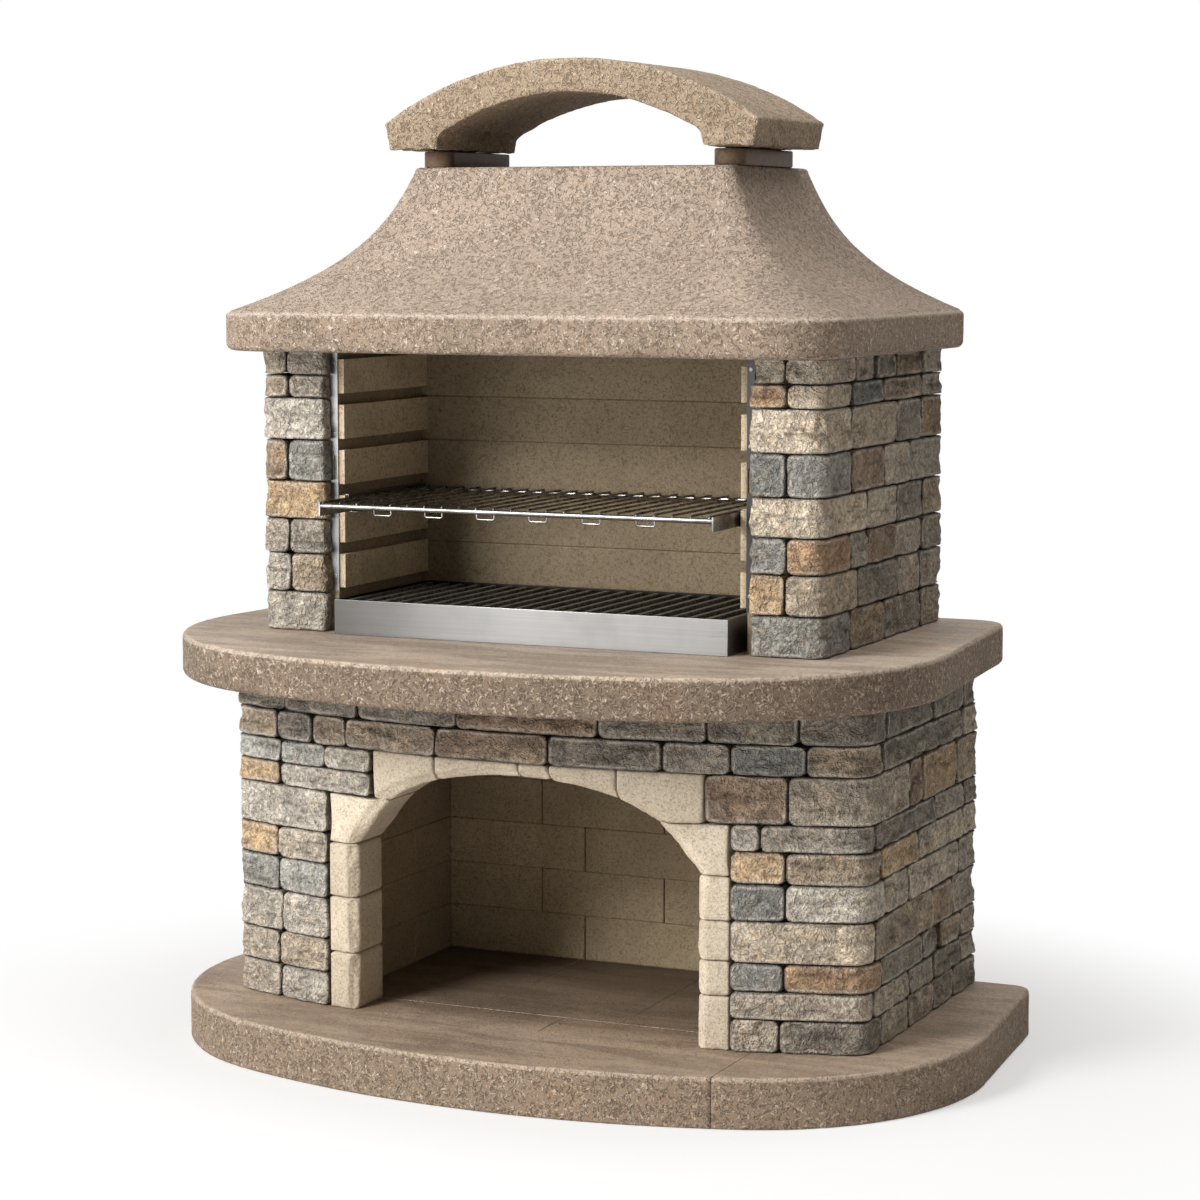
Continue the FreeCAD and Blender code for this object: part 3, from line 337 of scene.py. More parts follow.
class Finish:
    """Node material that ends in one principled shader."""

    def __init__(self, name, **sockets):
        self.material = bpy.data.materials.new(name)
        self.material.use_nodes = True
        self.tree = self.material.node_tree
        self.inputs = self.tree.nodes["Principled BSDF"].inputs
        for label, value in sockets.items():
            self.inputs[label.replace("_", " ")].default_value = value
        self.where = self.node("TexCoord")["Object"]
        self.colour = None

    def node(self, kind, inputs=None, **settings):
        return add_node(self.tree, kind, inputs, **settings)

    def value(self, label, output="Fac"):
        return self.node("Attribute", attribute_name=label)[output]

    def moved(self, **change):
        return self.node("Mapping", {"Vector": self.where, **change})["Vector"]

    def part(self, vector, axis):
        return self.node("SeparateXYZ", {0: vector})[axis]

    def noise(self, scale, detail=4, roughness=0.55, vector=None, seed=None, distortion=0):
        inputs = {"Vector": vector or self.where, "Scale": scale, "Detail": detail, "Roughness": roughness,
                  "Distortion": distortion}
        if seed is None:
            return self.node("TexNoise", inputs)["Fac"]
        return self.node("TexNoise", {**inputs, "W": seed}, noise_dimensions="4D")["Fac"]

    def strands(self, scale, shift):
        """Short winding lines, one on a line and zero beside it."""
        vector = self.moved(Location=(shift, shift, shift))
        line = self.span(self.away(self.noise(scale, 1, 0.5, vector, distortion=1.4)), 0.07, 0.01)
        return self.times(line, self.span(self.noise(1.5 * scale, 0, vector=vector), 0.40, 0.50))

    def cells(self, scale):
        return self.node("TexVoronoi", {"Vector": self.where, "Scale": scale})["Distance"]

    def span(self, value, low, high, out_low=0.0, out_high=1.0):
        inputs = {"Value": value, "From Min": low, "From Max": high, "To Min": out_low, "To Max": out_high}
        return self.node("MapRange", inputs, interpolation_type="SMOOTHSTEP")["Result"]

    def calc(self, operation, first, second=0.0):
        return self.node("Math", {0: first, 1: second}, operation=operation)[0]

    def times(self, first, second):
        return self.calc("MULTIPLY", first, second)

    def away(self, field):
        """Distance of a field from its middle value."""
        return self.calc("ABSOLUTE", self.calc("SUBTRACT", field, 0.5))

    def total(self, *parts):
        """Sum of fields, each times its weight."""
        result, *rest = [self.times(field, weight) for field, weight in parts]
        for term in rest:
            result = self.calc("ADD", result, term)
        return result

    def mix(self, share, first, second, blend="MIX"):
        return self.node("Mix", {0: share, 6: first, 7: second}, data_type="RGBA", blend_type=blend)[2]

    def scaled(self, colour, factors):
        return self.mix(1.0, colour, factors, "MULTIPLY")

    def cover(self, share, colour):
        self.colour = self.mix(share, self.colour, colour)

    def tint(self, share, factors):
        self.cover(share, self.scaled(self.colour, factors))

    def vary(self, field, low, high, dark, pale):
        """From a darker to a paler kind of the colour as a field grows from low to high."""
        kinds = [self.scaled(self.colour, factors) for factors in (dark, pale)]
        self.colour = self.mix(self.span(field, low, high), *kinds)

    def upness(self, low, high):
        """How far a surface faces upward."""
        return self.span(self.part(self.node("NewGeometry")["Normal"], "Z"), low, high)

    def bump(self, height, distance, strength):
        inputs = {"Height": height, "Distance": distance, "Strength": strength}
        self.tree.links.new(self.node("Bump", inputs)["Normal"], self.inputs["Normal"])

    def paint(self, roughness):
        self.tree.links.new(self.colour, self.inputs["Base Color"])
        self.tree.links.new(roughness, self.inputs["Roughness"])
        return self.material


def split_stone_finish():
    """Tumbled stone: mottled and grainy, paler on scuffed edges, which also carry a painted highlight, with
    painted shade in cracks, creases and joints.
    """
    look = Finish("split_stone_mottled")
    seed = look.value("seed")
    blotches = look.noise(17, 5, 0.6, seed=seed)
    veins = look.noise(34, 6, 0.68, seed=seed, distortion=0.8)
    spots = look.noise(85, 5, 0.62, seed=seed)
    wrinkles = look.noise(62, 3, 0.6, seed=seed, distortion=1.6)
    folds = look.noise(24, 4, 0.58, seed=seed, distortion=1.1)
    grain = look.noise(260, 3, 0.7)
    light_worms = look.strands(88, 3.1)
    dark_worms = look.strands(70, 9.7)
    ridge = look.span(look.away(folds), 0.0, 0.07)
    crease_shade = look.times(look.calc("SUBTRACT", 1.0, ridge), 0.42)
    rubbed_and_lit = look.times(look.value("wear"), look.span(spots, 0.30, 0.60, 0.25, 0.95))
    look.colour = look.value("tone", "Color")
    look.vary(blotches, 0.36, 0.64, (0.87, 0.86, 0.86), (1.26, 1.25, 1.23))
    look.tint(look.span(veins, 0.5, 0.68, 0.0, 0.75), (1.09, 0.94, 0.79))
    look.tint(look.span(veins, 0.47, 0.30, 0.0, 0.5), (0.84, 0.86, 0.89))
    look.vary(wrinkles, 0.34, 0.60, (0.74, 0.73, 0.71), (1.20, 1.19, 1.17))
    look.vary(grain, 0.34, 0.66, (0.90, 0.89, 0.88), (1.10, 1.09, 1.08))
    look.tint(look.times(dark_worms, 0.40), (0.46, 0.44, 0.42))
    look.tint(look.times(light_worms, 0.55), (1.42, 1.40, 1.37))
    # Painted shade along the creases between folds.
    look.tint(crease_shade, (0.52, 0.50, 0.47))
    # Paler scuffed rims, partly a painted highlight.
    look.cover(rubbed_and_lit, linear(228, 220, 208))
    # Painted shade in cracks and where stones meet.
    look.tint(look.times(look.value("crack"), 0.80), (0.32, 0.30, 0.28))
    height = look.total((wrinkles, 1.4), (grain, 0.22), (spots, 0.6), (ridge, 0.30), (folds, 2.0),
                        (light_worms, 0.22), (dark_worms, -0.30))
    look.bump(height, 10 * MM, 1.0)
    return look.paint(look.span(spots, 0.3, 0.7, 0.96, 0.84))


def aggregate_finish(name, body, upright_shade, trowelled=True, dark=(84, 68, 53), pale=(208, 190, 170),
                     rust=(160, 132, 107)):
    """Cast stone with wormy washed aggregate, darker on side faces as painted shade; a trowelled top is
    smoother and streaked.
    """
    look = Finish(name)
    body, dark, pale, rust = (linear(*screen) for screen in (body, dark, pale, rust))
    clouds = look.noise(5.5, 5, 0.6)
    light_worms = look.strands(80, 0.0)
    dark_worms = look.strands(66, 7.3)
    grain = look.noise(380, 3, 0.6)
    # Paler scuffed edges, partly a painted highlight.
    worn_and_lit = look.times(look.value("wear"), look.span(grain, 0.3, 0.6, 0.25, 0.7))
    look.colour = body
    look.vary(clouds, 0.36, 0.64, (0.88, 0.87, 0.86), (1.06, 1.06, 1.06))
    look.cover(look.span(clouds, 0.52, 0.68, 0.0, 0.35), rust)
    plain = look.colour
    # Painted shade: faces that do not point up are darker than the tops.
    look.colour = look.mix(look.upness(0.03, 0.30), look.scaled(plain, upright_shade), plain)
    look.cover(look.times(dark_worms, 0.60), dark)
    look.cover(look.times(light_worms, 0.62), pale)
    look.vary(grain, 0.35, 0.65, (0.84, 0.83, 0.82), (1.12, 1.12, 1.12))
    look.cover(worn_and_lit, pale)
    height = look.total((light_worms, 0.5), (dark_worms, -0.6), (grain, 0.35))
    if not trowelled:
        look.bump(height, 4.0 * MM, 0.9)
        return look.paint(look.span(grain, 0.3, 0.7, 0.95, 0.82))
    washed = look.colour
    look.colour = plain
    top = look.upness(0.80, 0.97)
    streaks = look.noise(9, 6, 0.62, look.moved(Scale=(0.35, 1.6, 1.0)), distortion=0.6)
    look.vary(streaks, 0.38, 0.62, (0.80, 0.78, 0.76), (1.24, 1.24, 1.23))
    look.cover(look.times(dark_worms, 0.34), dark)
    look.cover(look.times(light_worms, 0.28), pale)
    # Painted shade on the recess tiles, darker towards the back.
    look.tint(look.times(look.value("crack"), 0.92), (0.18, 0.145, 0.095))
    levels = {0: top, 2: height, 3: look.times(height, 0.3)}
    look.bump(look.node("Mix", levels, data_type="FLOAT")[0], 4.0 * MM, 0.9)
    look.colour = look.mix(top, washed, look.colour)
    return look.paint(look.span(top, 0.0, 1.0, 0.90, 0.62))


def fine_block_finish(name, body, speck, pitted=0.3):
    """Sawn or cast block with a fine sandy grain and a tone of its own per block."""
    look = Finish(name)
    clouds = look.noise(7, 4, 0.6)
    grain = look.noise(300, 4, 0.65)
    pits = look.cells(150)
    worn_and_lit = look.times(look.value("wear"), look.span(grain, 0.3, 0.6, 0.2, 0.7))
    look.colour = look.scaled(linear(*body), look.value("tone", "Color"))
    look.vary(clouds, 0.33, 0.67, (0.88, 0.87, 0.84), (1.06, 1.06, 1.05))
    look.vary(grain, 0.34, 0.66, (0.86, 0.85, 0.82), (1.09, 1.09, 1.08))
    look.cover(look.span(pits, 0.20, 0.06, 0.0, 0.45), linear(*speck))
    look.cover(look.times(look.strands(105, 5.2), 0.60), linear(*speck))
    # Painted shade, also sooty on the firebox back.
    look.tint(look.times(look.value("crack"), 0.72), (0.30, 0.27, 0.23))
    # Paler scuffed edges, partly a painted highlight.
    look.tint(worn_and_lit, (1.16, 1.15, 1.13))
    look.bump(look.total((grain, 0.6), (pits, pitted)), 2.5 * MM, 0.7)
    return look.paint(look.span(grain, 0.3, 0.7, 0.95, 0.84))


def brushed_steel_finish(name, shade, painted_dark_end=None):
    """Brushed sheet; the stretch between the two given widths turns darker towards the first, a painted
    dimmer reflection.
    """
    look = Finish(name, Metallic=1.0)
    lines = look.noise(1.0, 5, 0.7, look.moved(Scale=(3, 3, 900)))
    haze = look.noise(6, 4, 0.6)
    brushed = look.span(lines, 0.3, 0.7)
    look.colour = look.mix(brushed, shade * linear(192, 191, 189), shade * linear(206, 205, 203))
    look.cover(look.span(haze, 0.45, 0.75, 0.0, 0.3), shade * linear(150, 148, 145))
    # Painted dimmer reflection towards the left end.
    if painted_dark_end:
        bright = look.span(look.part(look.where, "X"), *painted_dark_end)
        look.colour = look.mix(bright, look.scaled(look.colour, (0.33, 0.32, 0.31)), look.colour)
    # Painted highlight along the rounded edges.
    look.cover(look.times(look.value("wear"), 0.8), linear(226, 225, 222))
    # Painted shade inside the tray, also sooty.
    look.cover(look.value("crack"), linear(44, 40, 36))
    look.bump(lines, 0.15 * MM, 0.3)
    roughness = look.calc("ADD", look.span(haze, 0.3, 0.7, 0.26, 0.36), look.times(brushed, 0.10))
    return look.paint(roughness)


def wire_finish(name, bright, dull):
    """Bright wire, hazy and browned by heat in places."""
    look = Finish(name, Metallic=1.0)
    haze = look.noise(45, 4, 0.6)
    burnt = look.span(look.noise(7, 3, 0.6), 0.5, 0.7, 0.0, 0.35)
    look.colour = look.mix(look.span(haze, 0.35, 0.7), linear(*bright), linear(*dull))
    look.cover(burnt, linear(104, 92, 78))
    look.bump(haze, 0.2 * MM, 0.25)
    return look.paint(look.span(haze, 0.3, 0.7, 0.22, 0.40))


def iron_finish():
    """Dark scaly iron with patches of ash."""
    look = Finish("grate_dark_iron", Metallic=0.6)
    scale = look.noise(110, 5, 0.65)
    ash = look.span(look.noise(16, 4, 0.6), 0.52, 0.72, 0.0, 0.35)
    look.colour = look.mix(look.span(scale, 0.35, 0.65), linear(74, 73, 70), linear(138, 136, 130))
    look.cover(ash, linear(136, 130, 119))
    look.bump(scale, 0.8 * MM, 0.6)
    return look.paint(look.span(scale, 0.3, 0.7, 0.36, 0.58))


def polished_stone_finish():
    """Smooth brown stone with soft bands."""
    look = Finish("spacer_polished_brown", Specular_IOR_Level=0.08)
    bands = look.noise(28, 5, 0.62, distortion=0.7)
    grain = look.noise(260, 3, 0.6)
    look.colour = look.mix(look.span(bands, 0.34, 0.66), linear(72, 56, 44), linear(108, 89, 72))
    look.cover(look.span(grain, 0.4, 0.7, 0.0, 0.3), linear(134, 114, 95))
    look.bump(grain, 0.3 * MM, 0.3)
    return look.paint(look.span(bands, 0.3, 0.7, 0.34, 0.46))


# Split stone courses

STONE_ROUND = 6.5 * MM
ROUND_SWAY = 0.55
ROUND_SHARES = (0.45, 1.9)
STONE_CORNER = 13 * MM
STONE_PITCH = 5 * MM
BED_GAP = 1.2 * MM
GAP_SHARES = (0.3, 2)
ARRIS_ROUND = 12 * MM
PROUD = {"lower": 10 * MM, "upper": 4 * MM}
TONE_JITTER = 0.07
SHOWN_DEPTH = 30 * MM
SHOWN_SLOPE = 0.6
FACING = 0.9
EDGE_SHARES = np.array([0, 0.14, 0.40, 0.80, 1.35])
LEDGE_COUNT = 3
LEDGE_LEVELS = (0.18, 0.82)
LEDGE_DRIFT = 0.30
LEDGE_STEPS = (1.5 * MM, 3.5 * MM)
LEDGE_SLOPE = 2 * MM
LEDGE_WIDTH = 2.2 * MM
FACET_COUNTS = (4, 40)
FACET_SIZE = 36 * MM
FACET_DEPTH = 3.5 * MM
FACET_CREASE = 2.5 * MM
FACET_SLOPE = 0.22
LUMP_DEPTH = 3.5 * MM
WIDE_LUMP = 30 * MM
FINE_LUMP = 15 * MM
# Where the paler scuffed band with its painted highlight ends and the painted shade of the joints starts, as
# shares of a stone's rounded rim.
WEAR_AND_HIGHLIGHT_END = 0.75
JOINT_START = 0.62


def edge_steps(length):
    """Sample places along a length, closer together at both ends."""
    near = STONE_CORNER * EDGE_SHARES
    if length < 3 * near[-1]:
        near = near * length / (3 * near[-1])
    parts = max(1, round((length - 2 * near[-1]) / STONE_PITCH))
    middle = np.linspace(near[-1], length - near[-1], parts + 1)
    return np.concatenate([near[:-1], middle, length - near[-2::-1]])


def bow_depth(x, depth):
    """Distance behind the bowed front line of the lower body."""
    return LOW_FRONT_RADIUS - np.hypot(x, depth - (LOW_FRONT - LOW_FRONT_RADIUS))


def depth_inside(kind, spots):
    """Distance in plan from the outer line of the lower or the upper body."""
    x = np.abs(spots[..., 0])
    depth = REAR_Y - spots[..., 1]
    if kind == "lower":
        return np.minimum(np.minimum(LOW_HALF - x, depth), bow_depth(x, depth))
    return np.minimum(np.minimum(UP_HALF - x, depth), UP_FRONT - depth)


def shown_edges(kind, loop):
    """Which edges of a stone's plan face outward, and their normals."""
    ends = np.roll(loop, -1, axis=0)
    ahead = ends - loop
    normals = np.stack([ahead[:, 1], -ahead[:, 0]], axis=-1) / np.hypot(*ahead.T)[:, None]
    middle = (loop + ends) / 2
    step = 2 * MM
    depth = depth_inside(kind, middle)
    slope = (depth - depth_inside(kind, middle + normals * step)) / step
    shown = (depth < SHOWN_DEPTH) & (slope > SHOWN_SLOPE)
    if kind == "upper":
        beside_fire = np.abs(np.abs(middle[:, 0]) - FIRE_HALF) < MM
        shown |= beside_fire & (REAR_Y - middle[:, 1] > FIRE_JAMB_DEPTH)
    return shown, normals


def ledges(heights, height, spots, rng):
    """Depth of a few broken, nearly level cracks across a stone, and the painted shade along them."""
    depth = np.zeros(heights.shape)
    dark = np.zeros(heights.shape)
    for seed in rng.integers(1, 9999, LEDGE_COUNT):
        level = height * rng.uniform(*LEDGE_LEVELS) + LEDGE_DRIFT * height * rough(spots, 0.07, int(seed))
        gate = np.clip(2.2 * noise(spots, 0.06, int(seed) + 7) + 0.25, 0, 1)
        away = heights - level
        depth += gate * rng.uniform(*LEDGE_STEPS) * 0.5 * (1 + np.tanh(away / LEDGE_SLOPE))
        dark += gate * np.exp(-(away / LEDGE_WIDTH) ** 2)
    return depth, np.clip(dark, 0, 1)


def chisel_depth(s, v, length, height, rng):
    """Depth of a face that is broken into flat facets with soft creases between them."""
    count = int(np.clip(length * height / FACET_SIZE ** 2, *FACET_COUNTS))
    centres = rng.uniform(0, 1, (count, 2)) * (length, height)
    slopes = rng.uniform(-FACET_SLOPE, FACET_SLOPE, (count, 2))
    offsets = rng.uniform(0, FACET_DEPTH, count)
    away = np.stack([s, v], axis=-1)[..., None, :] - centres
    reach = np.linalg.norm(away, axis=-1)
    weight = np.exp((reach.min(axis=-1, keepdims=True) - reach) / FACET_CREASE)
    planes = offsets + (away * slopes).sum(axis=-1)
    return np.maximum(0, (weight * planes).sum(axis=-1) / weight.sum(axis=-1))


def add_stone(pile, loop, shown, low, high, proud, tone, rng):
    """One split stone: its shown faces are rounded and rough, the rest is plain."""
    count = len(loop)
    start = next(i for i in range(count) if shown[i] and not shown[i - 1])
    reach = next(i for i in range(count) if not shown[(start + i) % count])
    loop = np.roll(loop, -start, axis=0)
    hidden = loop[reach + 1:]
    run = Run(round_corners(loop[:reach + 1], ARRIS_ROUND))
    height = high - low
    s, v = np.meshgrid(edge_steps(run.length), edge_steps(height), indexing="ij")
    spots = np.concatenate([run.at(s), low + v[..., None]], axis=-1) + rng.uniform(1, 50, 3)
    radius = STONE_ROUND * np.clip(1 + ROUND_SWAY * rough(spots, 0.035, 3, 2), *ROUND_SHARES)
    near_s = np.maximum(0, STONE_CORNER - np.minimum(s, run.length - s))
    near_v = np.maximum(0, STONE_CORNER - np.minimum(v, height - v))
    past = np.maximum(1, np.hypot(near_s, near_v) / STONE_CORNER)
    s = s + np.sign(run.length / 2 - s) * (near_s - near_s / past)
    v = v + np.sign(height / 2 - v) * (near_v - near_v / past)
    rim = np.clip((np.hypot(near_s, near_v) / past - STONE_CORNER + radius) / radius, 0, 1)
    inset = radius * (1 - np.sqrt(1 - rim ** 2))
    crack_depth, crack = ledges(v, height, spots, rng)
    relief = crack_depth + chisel_depth(s, v, run.length, height, rng)
    relief += LUMP_DEPTH * (np.abs(noise(spots, WIDE_LUMP, 17)) + np.abs(noise(spots, FINE_LUMP, 23)))
    lift = np.clip(1.2 - rim, 0.3, 1)
    plan = run.at(s) - run.normal(s) * (inset - proud + relief * lift)[..., None]
    gap = BED_GAP * np.clip(1 + rough(spots, 0.03, 29, 2), *GAP_SHARES)
    level = low + v + gap * np.sign(height / 2 - v) * np.clip(np.abs(1 - 2 * v / height), 0, 1)
    grid = np.concatenate([plan, level[..., None]], axis=-1).reshape(-1, 3)
    number = np.arange(s.size).reshape(s.shape)
    back = np.concatenate([np.column_stack([hidden, np.full(len(hidden), z)]) for z in (low, high)])
    lows = range(s.size, s.size + len(hidden))
    tops = range(s.size + len(hidden), s.size + len(back))
    flat = [[*number[-1, :], tops[0], lows[0]], [*number[0, ::-1], lows[-1], tops[-1]]]
    flat += [[lows[i], tops[i], tops[i + 1], lows[i + 1]] for i in range(len(hidden) - 1)]
    flat += [[*number[:, -1], *tops], [*number[:, 0], *lows]]
    plain = np.zeros(len(back))
    # Paler band on the rounded rim: scuffing and a painted highlight.
    wear = np.clip(5 * rim * (WEAR_AND_HIGHLIGHT_END - rim), 0, 1).ravel()
    # Painted shade along the cracks and on the outer rim, where the stones meet.
    crack = np.maximum(crack * lift, np.clip((rim - JOINT_START) * 3.5, 0, 1)).ravel()
    pile.add(np.concatenate([grid, back]), grid_faces(number), flat, tone=tone, seed=rng.uniform(0, 60),
             wear=np.concatenate([wear, plain]), crack=np.concatenate([crack, plain]))


def lay_course(node, kind, order, material):
    """All stones of one course, each with its own tone."""
    rng = np.random.default_rng(1000 * (kind == "upper") + 17 * order + 5)
    stones = []
    front = []
    side = []
    for i, (points, triangles) in enumerate(solids(node)):
        loop = plan_outline(points, triangles)
        shown, normals = shown_edges(kind, loop)
        stones.append((loop, shown, points[:, 2].min(), points[:, 2].max()))
        if (normals[shown, 1] < -FACING).any():
            front.append(i)
        elif (normals[shown, 0] > FACING).any():
            side.append(i)
    front.sort(key=lambda i: stones[i][0][:, 0].mean())
    side.sort(key=lambda i: stones[i][0][:, 1].mean())
    tones = COURSE_TONES[kind].strip().splitlines()[order].split("/")
    named = dict([*zip(front, tones[0].split()), *zip(side, tones[1].split())])
    pile = Pile()
    for i, (loop, shown, low, high) in enumerate(stones):
        word = named.get(i) or str(rng.choice(COMMON_TONES))
        tone = linear(*STONE_TONES[word]) * (1 + rng.uniform(-TONE_JITTER, TONE_JITTER))
        add_stone(pile, loop, shown, low, high, PROUD[kind], tone, rng)
    place(pile, node, "_stones", material)


# Cast slabs

SLAB_PITCH = 8 * MM
SLAB_ROUND = 9 * MM
WORKTOP_LOW_ROUND = 12 * MM
FOOT_ROUND = 6 * MM
SEAM_SAMPLES = 20000
CAST_WAVES = ((0.9 * MM, 0.09, 41, 2), (0.5 * MM, 0.016, 47, 2))
# Front and rear depth, half width, half width at the back, radius of front, shoulders and rear corners.
WORKTOP_PLAN = (1.100, 0.053, 0.796, 0.742, 1.500, 0.500, 90 * MM)
BASE_PLAN = (1.000, 0.025, 0.852, 0.812, 1.640, 0.480, 48 * MM)
ARC_STEPS = 60


def bowed_plan(front, rear, half, half_rear, big, small, corner):
    """Anticlockwise plan with an arc front, round shoulders and a straight back."""
    centre_y = REAR_Y - front + big
    back_y = REAR_Y + rear
    side_x = half - small
    side_y = centre_y - math.sqrt((big - small) ** 2 - side_x ** 2)
    turn = math.atan2(side_y - centre_y, side_x)
    reach = math.hypot(half_rear - side_x, back_y - side_y)
    leave = math.atan2(back_y - side_y, half_rear - side_x) - math.acos(small / reach)
    bow = np.linspace(-math.pi / 2, turn, ARC_STEPS)
    shoulder = np.linspace(turn, leave, ARC_STEPS)[1:]
    right = np.concatenate([
        np.column_stack([big * np.cos(bow), centre_y + big * np.sin(bow)]),
        np.column_stack([side_x + small * np.cos(shoulder), side_y + small * np.sin(shoulder)]),
        [[half_rear, back_y]],
    ])
    left = right[:0:-1] * (-1, 1)
    return round_corners(np.concatenate([right, left]), corner, closed=True)


def slab_profile(low, top, low_round):
    """Insets and heights from the lower to the upper rim of a slab edge."""
    quarter = np.linspace(0, math.pi / 2, 6)
    rows = [(low_round * (1 - math.sin(a)), low + low_round * (1 - math.cos(a))) for a in quarter]
    start = rows[-1][1]
    end = top - SLAB_ROUND
    parts = max(2, round((end - start) / SLAB_PITCH))
    rows += [(0, start + (end - start) * i / parts) for i in range(1, parts)]
    rows += [(SLAB_ROUND * (1 - math.cos(a)), end + SLAB_ROUND * math.sin(a)) for a in quarter]
    return np.array(rows)


def waves(points, *rows):
    """Depth of a rough surface, from rows of depth, size, seed and octaves."""
    return sum(depth * (1 + rough(points, size, seed, octaves)) for depth, size, seed, octaves in rows)


def slab_wall(run, places, rows, closed):
    """Rings of a slab edge as points, faces, point numbers and the paler scuffed band on the upper rounding,
    partly a painted highlight.
    """
    s = np.broadcast_to(places[:, None], (len(places), len(rows)))
    flat = run.at(s)
    insets, levels = rows.T
    heights = np.broadcast_to(levels, s.shape)[..., None]
    inset = insets + waves(np.concatenate([flat, heights], axis=-1), *CAST_WAVES)
    grid = np.concatenate([flat - run.normal(s) * inset[..., None], heights], axis=-1)
    number = np.arange(s.size).reshape(s.shape)
    share = insets / SLAB_ROUND * (levels > levels.mean())
    wear = np.broadcast_to(4 * share * (1 - share), s.shape)
    return grid.reshape(-1, 3), grid_faces(number, closed), number, wear.ravel()


def make_worktop(material):
    low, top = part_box("worktop")
    run = Run(bowed_plan(*WORKTOP_PLAN), closed=True)
    places = np.linspace(0, run.length, round(run.length / SLAB_PITCH), endpoint=False)
    rows = slab_profile(low.z, top.z, WORKTOP_LOW_ROUND)
    points, faces, number, wear = slab_wall(run, places, rows, True)
    pile = Pile()
    pile.add(points, faces, [number[:, -1], number[::-1, 0]], wear=wear)
    place(pile, "worktop", "_slab", material)


def make_base(node, material):
    """One half of the plinth; the left one has a bed for the recess tiles in its top."""
    low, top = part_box(node)
    run = Run(bowed_plan(*BASE_PLAN), closed=True)
    fine = np.linspace(0, run.length, SEAM_SAMPLES, endpoint=False)
    x = run.at(fine)[:, 0]
    is_left = node.endswith("left")
    seam = top.x if is_left else low.x
    inside = x < seam if is_left else x > seam
    turn = int(np.flatnonzero(inside & ~np.roll(inside, 1))[0])
    kept = np.roll(fine, -turn)[np.roll(inside, -turn)]
    length = (kept[-1] - kept[0]) % run.length
    places = kept[0] + np.linspace(0, length, round(length / SLAB_PITCH))
    points, faces, number, wear = slab_wall(run, places, slab_profile(low.z, top.z, FOOT_ROUND), False)
    points[number[[0, -1]], 0] = seam
    flat = [[*number[-1], *number[0, ::-1]], number[::-1, 0]]
    if not is_left:
        flat.append(number[:, -1])
    pile = Pile()
    pile.add(points, faces, flat, wear=wear)
    place(pile, node, "_cast", material, sink_tile_bed if is_left else None)


def sink_tile_bed(shape):
    """Closes the open top of the left plinth around the sunk bed of the recess tiles."""
    low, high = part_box("recess_floor_tiles")
    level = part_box("base_slab_left")[1].z
    right = [(ARCH_HALF, low.y), (ARCH_HALF, ARCH_BACK_Y), (RECESS_HALF, ARCH_BACK_Y), (RECESS_HALF, high.y)]
    bed = [(-x, y) for x, y in right[::-1]] + right
    sides = range(len(bed))
    edges = [edge for edge in shape.edges if edge.is_boundary]
    upper, lower = ([shape.verts.new((x, y, z)) for x, y in bed] for z in (level, low.z))
    edges += [shape.edges.new((upper[i - 1], upper[i])) for i in sides]
    bmesh.ops.triangle_fill(shape, use_beauty=True, edges=edges, normal=(0, 0, 1))
    for i in sides:
        shape.faces.new((upper[i - 1], upper[i], lower[i], lower[i - 1]))
    shape.faces.new(lower)


# Hood

# Half width, front and rear depth, radius of front and rear corners.
HOOD_TOP_PLAN = np.array([0.352, 0.522, 0.078, 0.024, 0.040])
HOOD_RIM_PLAN = np.array([0.662, 0.839, 0.000, 0.148, 0.040])
SMOKE_LOW_PLAN = np.array([0.446, 0.690, 0.300, 0.020, 0.020])
SMOKE_TOP_PLAN = np.array([0.190, 0.430, 0.170, 0.020, 0.020])
SIDE_COUNTS = (150, 84, 150, 84)
CORNER_COUNT = 14
RIM_HEIGHT = 0.075
RIM_LOW_ROUND = 15 * MM
RIM_TOP_ROUND = 8 * MM
# Paler band on the upper rounding of the rim: scuffing and a painted highlight.
RIM_WEAR_AND_HIGHLIGHT = {15: 0.0, 30: 0.2, 45: 0.8, 60: 1.0}
RIM_ROWS = 8
HOOD_TOP_ROUND = 11 * MM
FLARE_ROWS = 52
FLARE_START = 0.985
FLARE_LEAN = 0.4
SMOKE_ROWS = 12


def ring_plan(half, front, rear, front_round, rear_round):
    """Anticlockwise rounded rectangle with a fixed number of points, and its outward normals."""
    near = REAR_Y - front + front_round
    far = REAR_Y - rear - rear_round
    centres = np.array([(front_round - half, near), (half - front_round, near), (half - rear_round, far),
                        (rear_round - half, far)])
    radii = (front_round, front_round, rear_round, rear_round)
    points = []
    normals = []
    for i, count in enumerate(SIDE_COUNTS):
        j = (i + 1) % len(SIDE_COUNTS)
        first = (i - 1) * math.pi / 2
        out = np.array([math.cos(first), math.sin(first)])
        start = centres[i] + radii[i] * out
        end = centres[j] + radii[j] * out
        points.append(start + (end - start) * np.linspace(0, 1, count, endpoint=False)[:, None])
        normals.append(np.broadcast_to(out, (count, 2)))
        angles = np.linspace(first, first + math.pi / 2, CORNER_COUNT, endpoint=False)
        bend = np.column_stack([np.cos(angles), np.sin(angles)])
        points.append(centres[j] + radii[j] * bend)
        normals.append(bend)
    return np.concatenate(points), np.concatenate(normals)


def upper_round(top, radius, degrees):
    """Height and inset at an angle of a rounded upper edge."""
    angle = math.radians(degrees)
    return top - radius * (1 - math.sin(angle)), radius * (1 - math.cos(angle))


